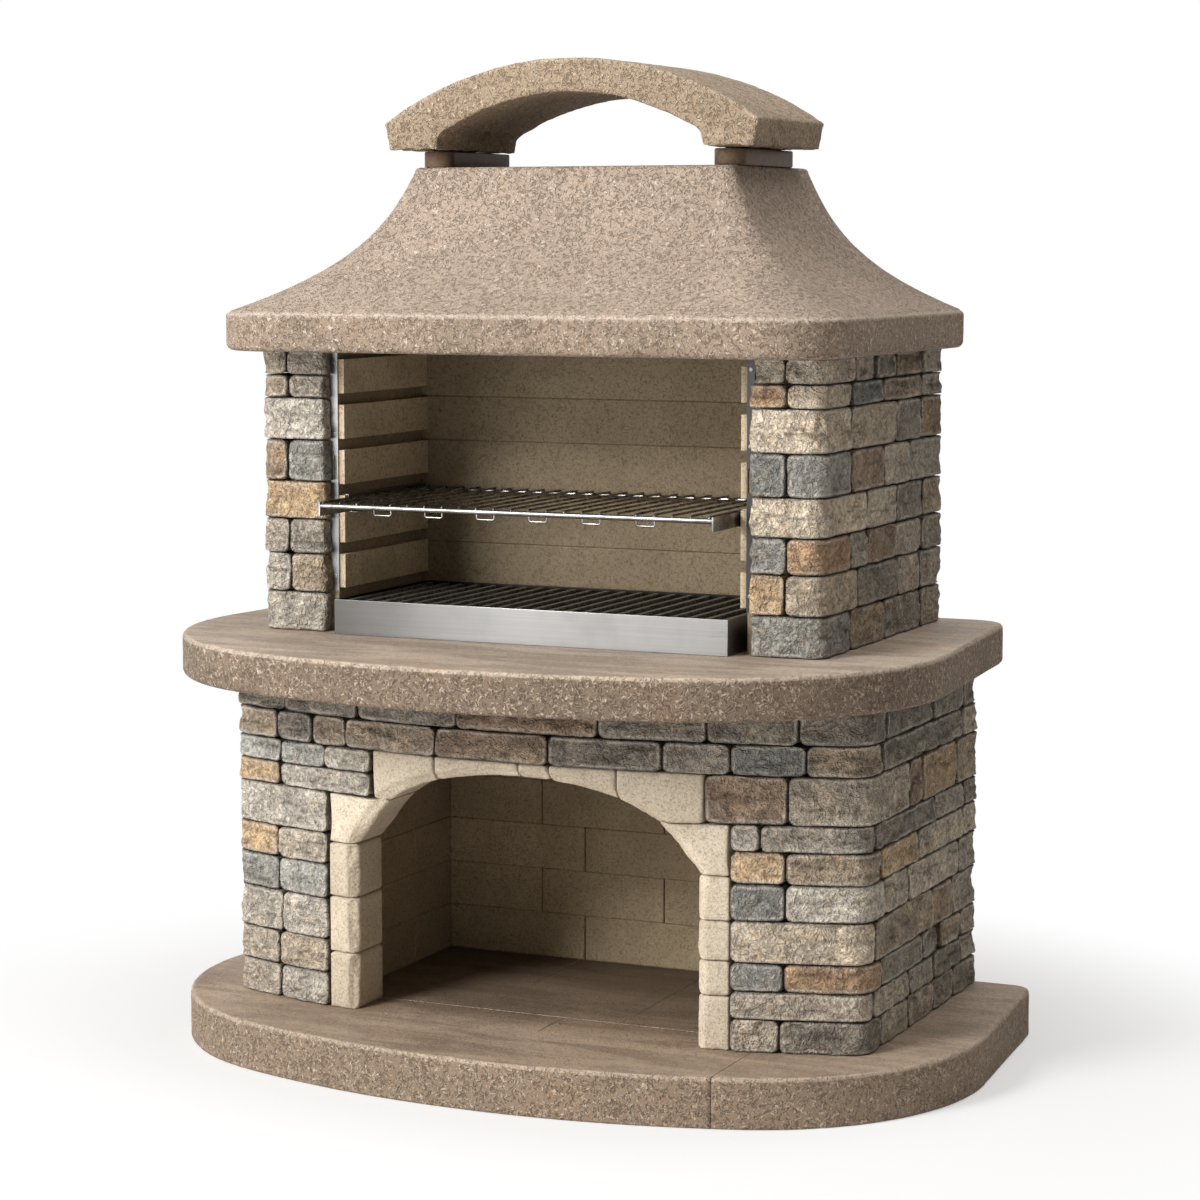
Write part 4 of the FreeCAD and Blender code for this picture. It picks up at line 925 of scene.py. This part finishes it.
def make_hood(material):
    """Hood with a rounded rim, a concave flare and an open smoke chamber."""
    low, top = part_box("hood")
    rim_top = low.z + RIM_HEIGHT
    flare_top = top.z - HOOD_TOP_ROUND
    rows = []
    for angle in np.linspace(0, math.pi / 2, 5):
        level = low.z + RIM_LOW_ROUND * (1 - math.cos(angle))
        rows.append((HOOD_RIM_PLAN, level, RIM_LOW_ROUND * (1 - math.sin(angle)), 0))
    for level in np.linspace(low.z + RIM_LOW_ROUND, rim_top - RIM_TOP_ROUND, RIM_ROWS)[1:]:
        rows.append((HOOD_RIM_PLAN, level, 0, 0))
    for degrees, wear in RIM_WEAR_AND_HIGHLIGHT.items():
        rows.append((HOOD_RIM_PLAN, *upper_round(rim_top, RIM_TOP_ROUND, degrees), wear))
    for share in np.linspace(FLARE_START, 0, FLARE_ROWS):
        opened = FLARE_LEAN * share + (1 - FLARE_LEAN) * share ** 3
        plan = HOOD_TOP_PLAN + (HOOD_RIM_PLAN - HOOD_TOP_PLAN) * opened
        rows.append((plan, flare_top - (flare_top - rim_top) * share, 0, 0))
    for degrees in (30, 60, 90):
        rows.append((HOOD_TOP_PLAN, *upper_round(top.z, HOOD_TOP_ROUND, degrees), 0))
    rings = []
    for plan, level, inset, _ in rows:
        flat, out = ring_plan(*plan)
        heights = np.full((len(flat), 1), level)
        depth = inset + waves(np.hstack([flat, heights]), *CAST_WAVES)
        rings.append(np.hstack([flat - out * depth[:, None], heights]))
    for share in np.linspace(1, 0, SMOKE_ROWS):
        flat = ring_plan(*(SMOKE_LOW_PLAN + (SMOKE_TOP_PLAN - SMOKE_LOW_PLAN) * share))[0]
        rings.append(np.hstack([flat, np.full((len(flat), 1), low.z + (top.z - low.z) * share)]))
    around = len(rings[0])
    number = np.arange(around * len(rings)).reshape(len(rings), around)
    outside = grid_faces(number[:len(rows)].T, closed=True)
    chamber = grid_faces(np.vstack([number[len(rows) - 1:], number[:1]]).T, closed=True)
    wear = np.repeat([row[-1] for row in rows] + [0] * SMOKE_ROWS, around)
    pile = Pile()
    pile.add(np.concatenate(rings), outside, chamber, wear=wear)
    place(pile, "hood", "_cast", material)


# Rough blocks

ARCH_CHAMFER = 20 * MM
CHAMFER_SWAY = 0.35
SURROUND_JITTER = (-0.05, 0.04)
HAUNCH_FILL = 90 * MM
HAUNCH_POWER = 9
HAUNCH_REACH = 60 * MM
BLOCK_VOXEL = 5.5 * MM
BROKEN_DEPTH = 4 * MM
CAP_FOOT_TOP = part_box("chimney_cap")[0].z + 0.075
CAP_FOOT_FADE = 30 * MM
CAP_FOOT_DEPTH = 5 * MM
CAP_FOOT_LUMP = 0.035
CAP_WAVES = ((1.3 * MM, 0.06, 83, 3), (0.6 * MM, 0.017, 89, 2))
BLOCK_WAVES = (0.45 * MM, 0.03, 71, 3)
BROKEN_WAVES = (1.8 * MM, 0.018, 77, 3)


def remeshed(points, triangles, rounds):
    """Even, softened mesh of one solid, as points, faces and point normals."""
    rough_mesh = bpy.data.meshes.new("rough")
    rough_mesh.from_pydata(points.tolist(), [], triangles.tolist())
    helper = add_object("rough", rough_mesh)
    modifier = helper.modifiers.new("even", "REMESH")
    modifier.mode = "VOXEL"
    modifier.voxel_size = BLOCK_VOXEL
    made = bpy.data.meshes.new_from_object(helper.evaluated_get(bpy.context.evaluated_depsgraph_get()))
    bpy.data.objects.remove(helper)
    bpy.data.meshes.remove(rough_mesh)
    shape = bmesh.new()
    shape.from_mesh(made)
    bpy.data.meshes.remove(made)
    for _ in range(rounds):
        bmesh.ops.smooth_vert(shape, verts=shape.verts, factor=0.5, use_axis_x=True, use_axis_y=True,
                              use_axis_z=True)
    shape.normal_update()
    spots = np.array([vert.co for vert in shape.verts])
    normals = np.array([vert.normal for vert in shape.verts])
    faces = [[vert.index for vert in face.verts] for face in shape.faces]
    shape.free()
    return spots, faces, normals


def arch_place(points):
    """Distance from the arch's inner line, the way out of the opening, and how near the haunch."""
    x, _, z = points.T
    across = x / ARCH_HALF
    rise = np.maximum(z - SPRING_LEVEL, 0) / ARCH_RISE
    share = np.hypot(across, rise)
    slope = np.stack([across / ARCH_HALF, np.zeros(len(x)), rise / ARCH_RISE], axis=-1)
    steep = np.linalg.norm(slope, axis=1)
    haunch = (np.abs(across) / share) ** HAUNCH_POWER * rise / share
    return np.maximum(0, share - 1) * share / steep, slope / steep[:, None], haunch


def shaped_surround(points):
    """Surround with fuller haunches and a broken inner front edge, and how deep that edge is cut."""
    to_opening, away, haunch = arch_place(points)
    to_front = bow_depth(points[:, 0], REAR_Y - points[:, 1])
    size = ARCH_CHAMFER * (1 + CHAMFER_SWAY * rough(points, 0.05, 61, 2))
    cut = np.maximum(0, size - np.maximum(to_front, 0) - to_opening) / math.sqrt(2)
    back = (away + np.array([0, 1, 0])) / math.sqrt(2)
    fill = HAUNCH_FILL * haunch * np.exp(-to_opening / HAUNCH_REACH)
    return points + back * cut[:, None] - away * fill[:, None], cut


def make_surround(node, material, rng):
    pile = Pile()
    for points, triangles in solids(node):
        spots, faces, normals = remeshed(points, triangles, 2)
        spots, cut = shaped_surround(spots)
        broken = np.clip(cut / BROKEN_DEPTH, 0, 1)
        relief = waves(spots, BLOCK_WAVES) + broken * waves(spots, BROKEN_WAVES)
        tone = np.ones(3) * (1 + rng.uniform(*SURROUND_JITTER))
        pile.add(spots - normals * relief[:, None], faces, tone=tone, wear=broken, crack=0.0)
    place(pile, node, "_blocks", material)


def make_cap(material):
    """Chimney cap with a rough skin and rougher feet."""
    spots, faces, normals = remeshed(*solids("chimney_cap")[0], 3)
    feet = np.clip((CAP_FOOT_TOP - spots[:, 2]) / CAP_FOOT_FADE, 0, 1)
    relief = waves(spots, *CAP_WAVES) + feet * CAP_FOOT_DEPTH * np.abs(noise(spots, CAP_FOOT_LUMP, 97))
    pile = Pile()
    pile.add(spots - normals * relief[:, None], faces, wear=0.0)
    place(pile, "chimney_cap", "_stone", material)


# Sawn blocks and metal with eased edges

SHARP_ANGLE = math.radians(30)
FLAT_ANGLE = math.radians(1)
RIB_FACE = 0.428
GROOVE_FACE = 0.443
TRAY_SOOT_AND_SHADE_START = 2.4 * MM
TRAY_SOOT_AND_SHADE_FADE = 0.45 * MM
RECESS_SHADE_REACH = 0.35
SIDE_SHADE = 0.35
EMBER_SOOT_AND_SHADE = 0.4
EMBER_SOOT_AND_SHADE_HEIGHT = 0.40


def eased_solid(points, triangles, width, segments):
    """One solid with its sharp edges rounded: points, curved faces, flat faces, and a share for the paler
    scuffed band and painted highlight on the rounded edges.
    """
    shape = bmesh.new()
    verts = [shape.verts.new(point) for point in points]
    for corners in triangles:
        shape.faces.new([verts[i] for i in corners])
    bmesh.ops.recalc_face_normals(shape, faces=shape.faces)
    bmesh.ops.dissolve_limit(shape, angle_limit=FLAT_ANGLE / 2, verts=shape.verts, edges=shape.edges)
    curved = shape.faces.layers.int.new("curved")
    edges = []
    for edge in shape.edges:
        if edge.is_manifold and edge.calc_face_angle() >= SHARP_ANGLE:
            edges.append(edge)
        elif edge.is_manifold and edge.calc_face_angle() > FLAT_ANGLE:
            for face in edge.link_faces:
                face[curved] = 1
    made = bmesh.ops.bevel(shape, geom=edges, offset=width, offset_type="OFFSET", segments=segments,
                           profile=0.5, affect="EDGES", clamp_overlap=True)
    for face in made["faces"]:
        face[curved] = 1
    shape.verts.index_update()
    spots = np.array([vert.co[:] for vert in shape.verts])
    faces, flat = ([[vert.index for vert in face.verts] for face in shape.faces if face[curved] == kind]
                   for kind in (1, 0))
    # Points on the rounded edges only, for the scuffed band and painted highlight.
    wear = [float(all(face[curved] for face in vert.link_faces)) for vert in shape.verts]
    shape.free()
    return spots, faces, flat, wear


def ease(nodes, suffix, material, width, segments=2, jitter=0.0, painted_shade_at=None):
    """Copies of nodes with rounded edges; each solid may have its own tone and painted shade, partly sooty
    in the firebox and the tray.
    """
    for node in nodes.split():
        rng = np.random.default_rng(sum(map(ord, node)))
        pile = Pile()
        for points, triangles in solids(node):
            spots, faces, flat, wear = eased_solid(points, triangles, width, segments)
            tone = np.ones(3) * (1 + rng.uniform(-jitter, jitter))
            pile.add(spots, faces, flat, tone=tone, wear=wear, crack=painted_shade_at(spots) if painted_shade_at else 0.0)
        place(pile, node, suffix, material)


def groove_soot(spots):
    """How far each point lies in the grooves between the ribs of the firebox, where shade is painted."""
    return np.clip((np.abs(spots[:, 0]) - RIB_FACE) / (GROOVE_FACE - RIB_FACE), 0, 1)


def recess_soot(spots):
    """Painted shade that grows from the front edge to the back of the log recess."""
    low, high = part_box("recess_floor_tiles")
    return np.clip((spots[:, 1] - low.y) / (RECESS_SHADE_REACH * (high.y - low.y)), 0, 1)


def side_soot(spots):
    """Thin painted shade on the walls of the log recess, none on the one at the back."""
    return SIDE_SHADE * recess_soot(spots) * (np.ptp(spots[:, 1]) > np.ptp(spots[:, 0]))


def ember_soot(spots):
    """Soot and painted shade that thin out upward from the ember grate."""
    above = spots[:, 2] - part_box("ember_grate_bars")[1].z
    return EMBER_SOOT_AND_SHADE * np.clip(1 - above / EMBER_SOOT_AND_SHADE_HEIGHT, 0, 1)


def tray_soot(spots):
    """Soot and painted shade on the inside of the tray."""
    low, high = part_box("ember_tray")
    x, y = spots[:, 0], spots[:, 1]
    inside = np.min([x - low.x, high.x - x, y - low.y, high.y - y], axis=0)
    return np.clip((inside - TRAY_SOOT_AND_SHADE_START) / TRAY_SOOT_AND_SHADE_FADE, 0, 1)


# Round wire

TUBE_SIDES = 10
DOME = np.radians((80, 50, 20))
WIRE_STEPS = 14
WIRE_SWAY = 0.5 * MM
ROD_STEPS = 24
# Turned ends, bends and rod ends, in wire radii.
TURN_START = 3.5
TURN_OUT = 2.4
TURN_DOWN = 1.2
BEND_ROUND = 3.5
ROD_INSET = 0.2


def add_tube(pile, path, radius):
    """Round wire along a path, with domed ends."""
    path = np.asarray(path, float)
    ahead = np.gradient(path, axis=0)
    ahead = ahead / np.linalg.norm(ahead, axis=1)[:, None]
    rise = radius * np.sin(DOME)[:, None]
    shrink = radius * np.cos(DOME)
    centres = np.concatenate([path[0] - ahead[0] * rise, path, path[-1] + ahead[-1] * rise[::-1]])
    ways = np.concatenate([ahead[:1].repeat(len(DOME), 0), ahead, ahead[-1:].repeat(len(DOME), 0)])
    widths = np.concatenate([shrink, np.full(len(path), radius), shrink[::-1]])
    side = np.cross(ways[0], (0, 0, 1) if abs(ways[0][2]) < 0.9 else (1, 0, 0))
    points = []
    for centre, way, width in zip(centres, ways, widths):
        side = side - way * (side @ way)
        side = side / np.linalg.norm(side)
        other = np.cross(way, side)
        for angle in np.linspace(0, 2 * math.pi, TUBE_SIDES, endpoint=False):
            points.append(centre + width * (math.cos(angle) * side + math.sin(angle) * other))
    number = np.arange(len(points)).reshape(-1, TUBE_SIDES)
    pile.add(points, grid_faces(number.T, closed=True) + [number[0], number[-1]])


def bars_of(node):
    """Lowest and highest corner of each solid of a node."""
    return [(points.min(axis=0), points.max(axis=0)) for points, _ in solids(node)]


def make_wires(material):
    """Grill wires, a little uneven, with ends turned down over the front rod."""
    rng = np.random.default_rng(31)
    pile = Pile()
    for low, high in bars_of("grill_wires"):
        radius = (high[0] - low[0]) / 2
        x, _, z = (low + high) / 2
        ys = np.linspace(high[1] - radius, low[1] + TURN_START * radius, WIRE_STEPS)
        size = WIRE_SWAY * rng.uniform(-1, 1)
        sway = size * np.sin(np.linspace(0, math.pi * rng.uniform(1, 3), WIRE_STEPS))
        path = [(x + shift, y, z) for y, shift in zip(ys, sway)]
        for angle in np.radians((30, 60, 90)):
            out = TURN_OUT * radius * math.sin(angle)
            down = TURN_DOWN * radius * (1 - math.cos(angle))
            path.append((x + sway[-1], ys[-1] - out, z - down))
        add_tube(pile, path, radius)
    place(pile, "grill_wires", "_bent", material)


def make_rod(node, material):
    low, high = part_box(node)
    radius = (high.z - low.z) / 2
    pile = Pile()
    inset = ROD_INSET * radius
    xs = np.linspace(low.x + inset, high.x - inset, ROD_STEPS)
    add_tube(pile, [(x, (low.y + high.y) / 2, (low.z + high.z) / 2) for x in xs], radius)
    place(pile, node, "_round", material)


def make_wire_bends(material):
    """Loops of wire that hang below the front rod."""
    pile = Pile()
    for low, high in bars_of("grill_wire_bends"):
        radius = (high[1] - low[1]) / 2
        y = (low[1] + high[1]) / 2
        left, right = low[0] + radius, high[0] - radius
        foot = low[2] + radius
        corners = [(left, high[2]), (left, foot), (right, foot), (right, high[2])]
        add_tube(pile, [(x, y, z) for x, z in round_corners(corners, BEND_ROUND * radius)], radius)
    place(pile, "grill_wire_bends", "_round", material)


# Building the pieces

stone = split_stone_finish()
for kind, group in (("lower", LOWER_COURSES), ("upper", UPPER_COURSES)):
    for order, node in enumerate(group):
        lay_course(node, kind, order, stone)

# The third values darken the side faces as painted shade; on the worktop they also warm them.
concrete = aggregate_finish("cast_aggregate_brown", (167, 148, 129), (0.66, 0.63, 0.59))
hood_finish = aggregate_finish("hood_aggregate_brown", (167, 149, 133), (0.72, 0.69, 0.64), False,
                               (96, 80, 66), (216, 200, 184), (168, 144, 125))
worktop_finish = aggregate_finish("worktop_aggregate_brown", (174, 158, 142), (0.45, 0.405, 0.355),
                                  rust=(162, 134, 109))
cap_finish = aggregate_finish("cap_aggregate_tan", (173, 154, 132), (0.79, 0.77, 0.73), False,
                              (104, 87, 69), (208, 192, 170), (164, 140, 114))
tile = aggregate_finish("recess_tile_brown", (163, 144, 124), (0.73, 0.71, 0.68))
make_worktop(worktop_finish)
for node in ("base_slab_left", "base_slab_right"):
    make_base(node, concrete)
make_hood(hood_finish)
make_cap(cap_finish)

surround = fine_block_finish("surround_cream", (204, 191, 173), (138, 121, 100), 0.5)
surround_rng = np.random.default_rng(12)
for node in ARCH_NODES:
    make_surround(node, surround, surround_rng)

lining = fine_block_finish("lining_cream", (172, 154, 127), (108, 91, 68))
# Darker body for the firebox back, both sooty and painted shade.
sooty_shaded_lining = fine_block_finish("lining_sooty", (146, 131, 108), (84, 70, 52))
rib_lining = fine_block_finish("lining_ribbed", (203, 186, 160), (118, 101, 78))
# The side walls of the recess carry a thin painted shade towards the back.
ease("recess_back_lining recess_left_lining recess_right_lining", "_blocks", lining, 3 * MM, 2, 0.06,
     side_soot)
# The firebox back darkens towards the grate, sooty and as painted shade.
ease("firebox_back_lining firebox_rear_core", "_blocks", sooty_shaded_lining, 3 * MM, 2, 0.05, ember_soot)
# The grooves between the ribs are painted dark as shade.
ease("firebox_left_lining firebox_right_lining", "_ribbed", rib_lining, 6 * MM, 3, 0.02, groove_soot)
# The recess tiles are darkened towards the back as painted shade.
ease("recess_floor_tiles", "_laid", tile, 1.0 * MM, painted_shade_at=recess_soot)
ease("cap_spacer_left cap_spacer_right", "_polished", polished_stone_finish(), 3 * MM, 3)

# The tray's left end is painted darker, standing in for a dimmer reflection.
steel = brushed_steel_finish("tray_steel_brushed", 0.47, (-0.46, 0.02))
dull_steel = brushed_steel_finish("strip_steel_dull", 0.34)
# Dark steel for the right strip, as painted shade.
shaded_steel = brushed_steel_finish("strip_steel_smoked", 0.08)
chrome = wire_finish("grill_rod_chrome", (158, 157, 155), (112, 110, 107))
burnt_chrome = wire_finish("grill_wire_burnt", (138, 137, 134), (48, 46, 43))
ease("ember_tray", "_sheet", steel, 0.8 * MM, painted_shade_at=tray_soot)
ease("edge_strip_left grill_rail_left grill_rail_right", "_sheet", dull_steel, 0.6 * MM)
# Painted shade: the right strip gets the dark steel.
ease("edge_strip_right", "_sheet", shaded_steel, 0.6 * MM)
ease("strip_screws", "_heads", dull_steel, 0.5 * MM)
ease("grill_side_bars", "_flat", chrome, 0.8 * MM)
make_wires(burnt_chrome)
make_rod("grill_front_rod", chrome)
make_rod("grill_back_rod", chrome)
make_wire_bends(chrome)
ease("ember_grate_bars ember_grate_cross_bars ember_grate_legs", "_iron", iron_finish(), 1.2 * MM)


# Floor, light and camera

FLOOR_HALF = 14.0
FLOOR_TONE = (0.9, 0.9, 0.9)
WHITE = (1, 1, 1)
FLOOR_FADE = {"From Min": 0.95, "From Max": 1.75, "To Min": 0.46, "To Max": 1.0}
FILL_STRENGTH = 0.235
FILL_TINT = (1.0, 0.925, 0.80)
# Place, aim, width and power of each lamp.
LAMPS = {
    "key": ((-2.6, -5.7, 4.5), (0, 0, 1.0), 2.2, 450),
    "front": ((-3.4, -5.4, 2.2), (0, 0, 0.9), 3.2, 205),
    "top": ((1.2, 0.0, 5.6), (0, 0, 1.0), 3.0, 105),
}
CAMERA_PLACE = (2.669, -5.733, 1.645)
CAMERA_DROP = 6.485
CAMERA_TURN = 24.39
CAMERA_LENS = 95.4


def mixed(tree, share, first, second, end):
    """Joins two shaders by a share and ends the tree with the result."""
    add_node(tree, end, {0: add_node(tree, "MixShader", {0: share, 1: first[0], 2: second[0]})[0]})


def empty_tree(owner):
    owner.use_nodes = True
    owner.node_tree.nodes.clear()
    return owner.node_tree


def white_share(tree):
    """One where the eye, a mirror or glass looks straight at the backdrop."""
    path = add_node(tree, "LightPath")
    share = path["Is Camera Ray"]
    for label in ("Is Glossy Ray", "Is Transmission Ray"):
        share = add_node(tree, "Math", {0: share, 1: path[label]}, operation="MAXIMUM")[0]
    return share


def make_world():
    world = bpy.data.worlds.new("studio")
    tree = empty_tree(world)
    fill = add_node(tree, "Background", {"Color": FILL_TINT, "Strength": FILL_STRENGTH})
    mixed(tree, white_share(tree), fill, add_node(tree, "Background", {"Color": WHITE}), "OutputWorld")
    bpy.context.scene.world = world


def make_floor():
    """Pale floor that keeps the shadow near the object and fades to white further out."""
    mesh = bpy.data.meshes.new("floor")
    corners = [(x * FLOOR_HALF, y * FLOOR_HALF, 0) for x, y in ((-1, -1), (1, -1), (1, 1), (-1, 1))]
    mesh.from_pydata(corners, [], [(0, 1, 2, 3)])
    floor = add_object("floor", mesh)
    material = bpy.data.materials.new("floor_pale")
    tree = empty_tree(material)
    matt = add_node(tree, "BsdfDiffuse", {"Color": FLOOR_TONE})
    where = add_node(tree, "TexCoord")["Object"]
    distance = add_node(tree, "VectorMath", {0: where}, operation="LENGTH")["Value"]
    fade = add_node(tree, "MapRange", {"Value": distance, **FLOOR_FADE}, interpolation_type="SMOOTHSTEP")[0]
    seen = add_node(tree, "Math", {0: fade, 1: white_share(tree)}, operation="MULTIPLY")[0]
    mixed(tree, seen, matt, add_node(tree, "Emission", {"Color": WHITE}), "OutputMaterial")
    mesh.materials.append(material)


def soft_light(name, place_at, target, size, power):
    lamp = bpy.data.lights.new(name, "AREA")
    lamp.size = size
    lamp.energy = power
    thing = add_object(name, lamp)
    thing.location = place_at
    x, y, z = np.array(target) - np.array(place_at)
    thing.rotation_euler = (math.atan2(math.hypot(x, y), -z), 0, math.atan2(-x, y))


make_floor()
make_world()
for name, setting in LAMPS.items():
    soft_light(name, *setting)

camera_data = bpy.data.cameras.new("camera")
camera_data.lens = CAMERA_LENS
camera_data.sensor_width = 36
camera = add_object("camera", camera_data)
camera.location = CAMERA_PLACE
camera.rotation_euler = (math.radians(90 - CAMERA_DROP), 0, math.radians(CAMERA_TURN))
bpy.context.scene.camera = camera
bpy.context.scene.view_settings.view_transform = "Standard"
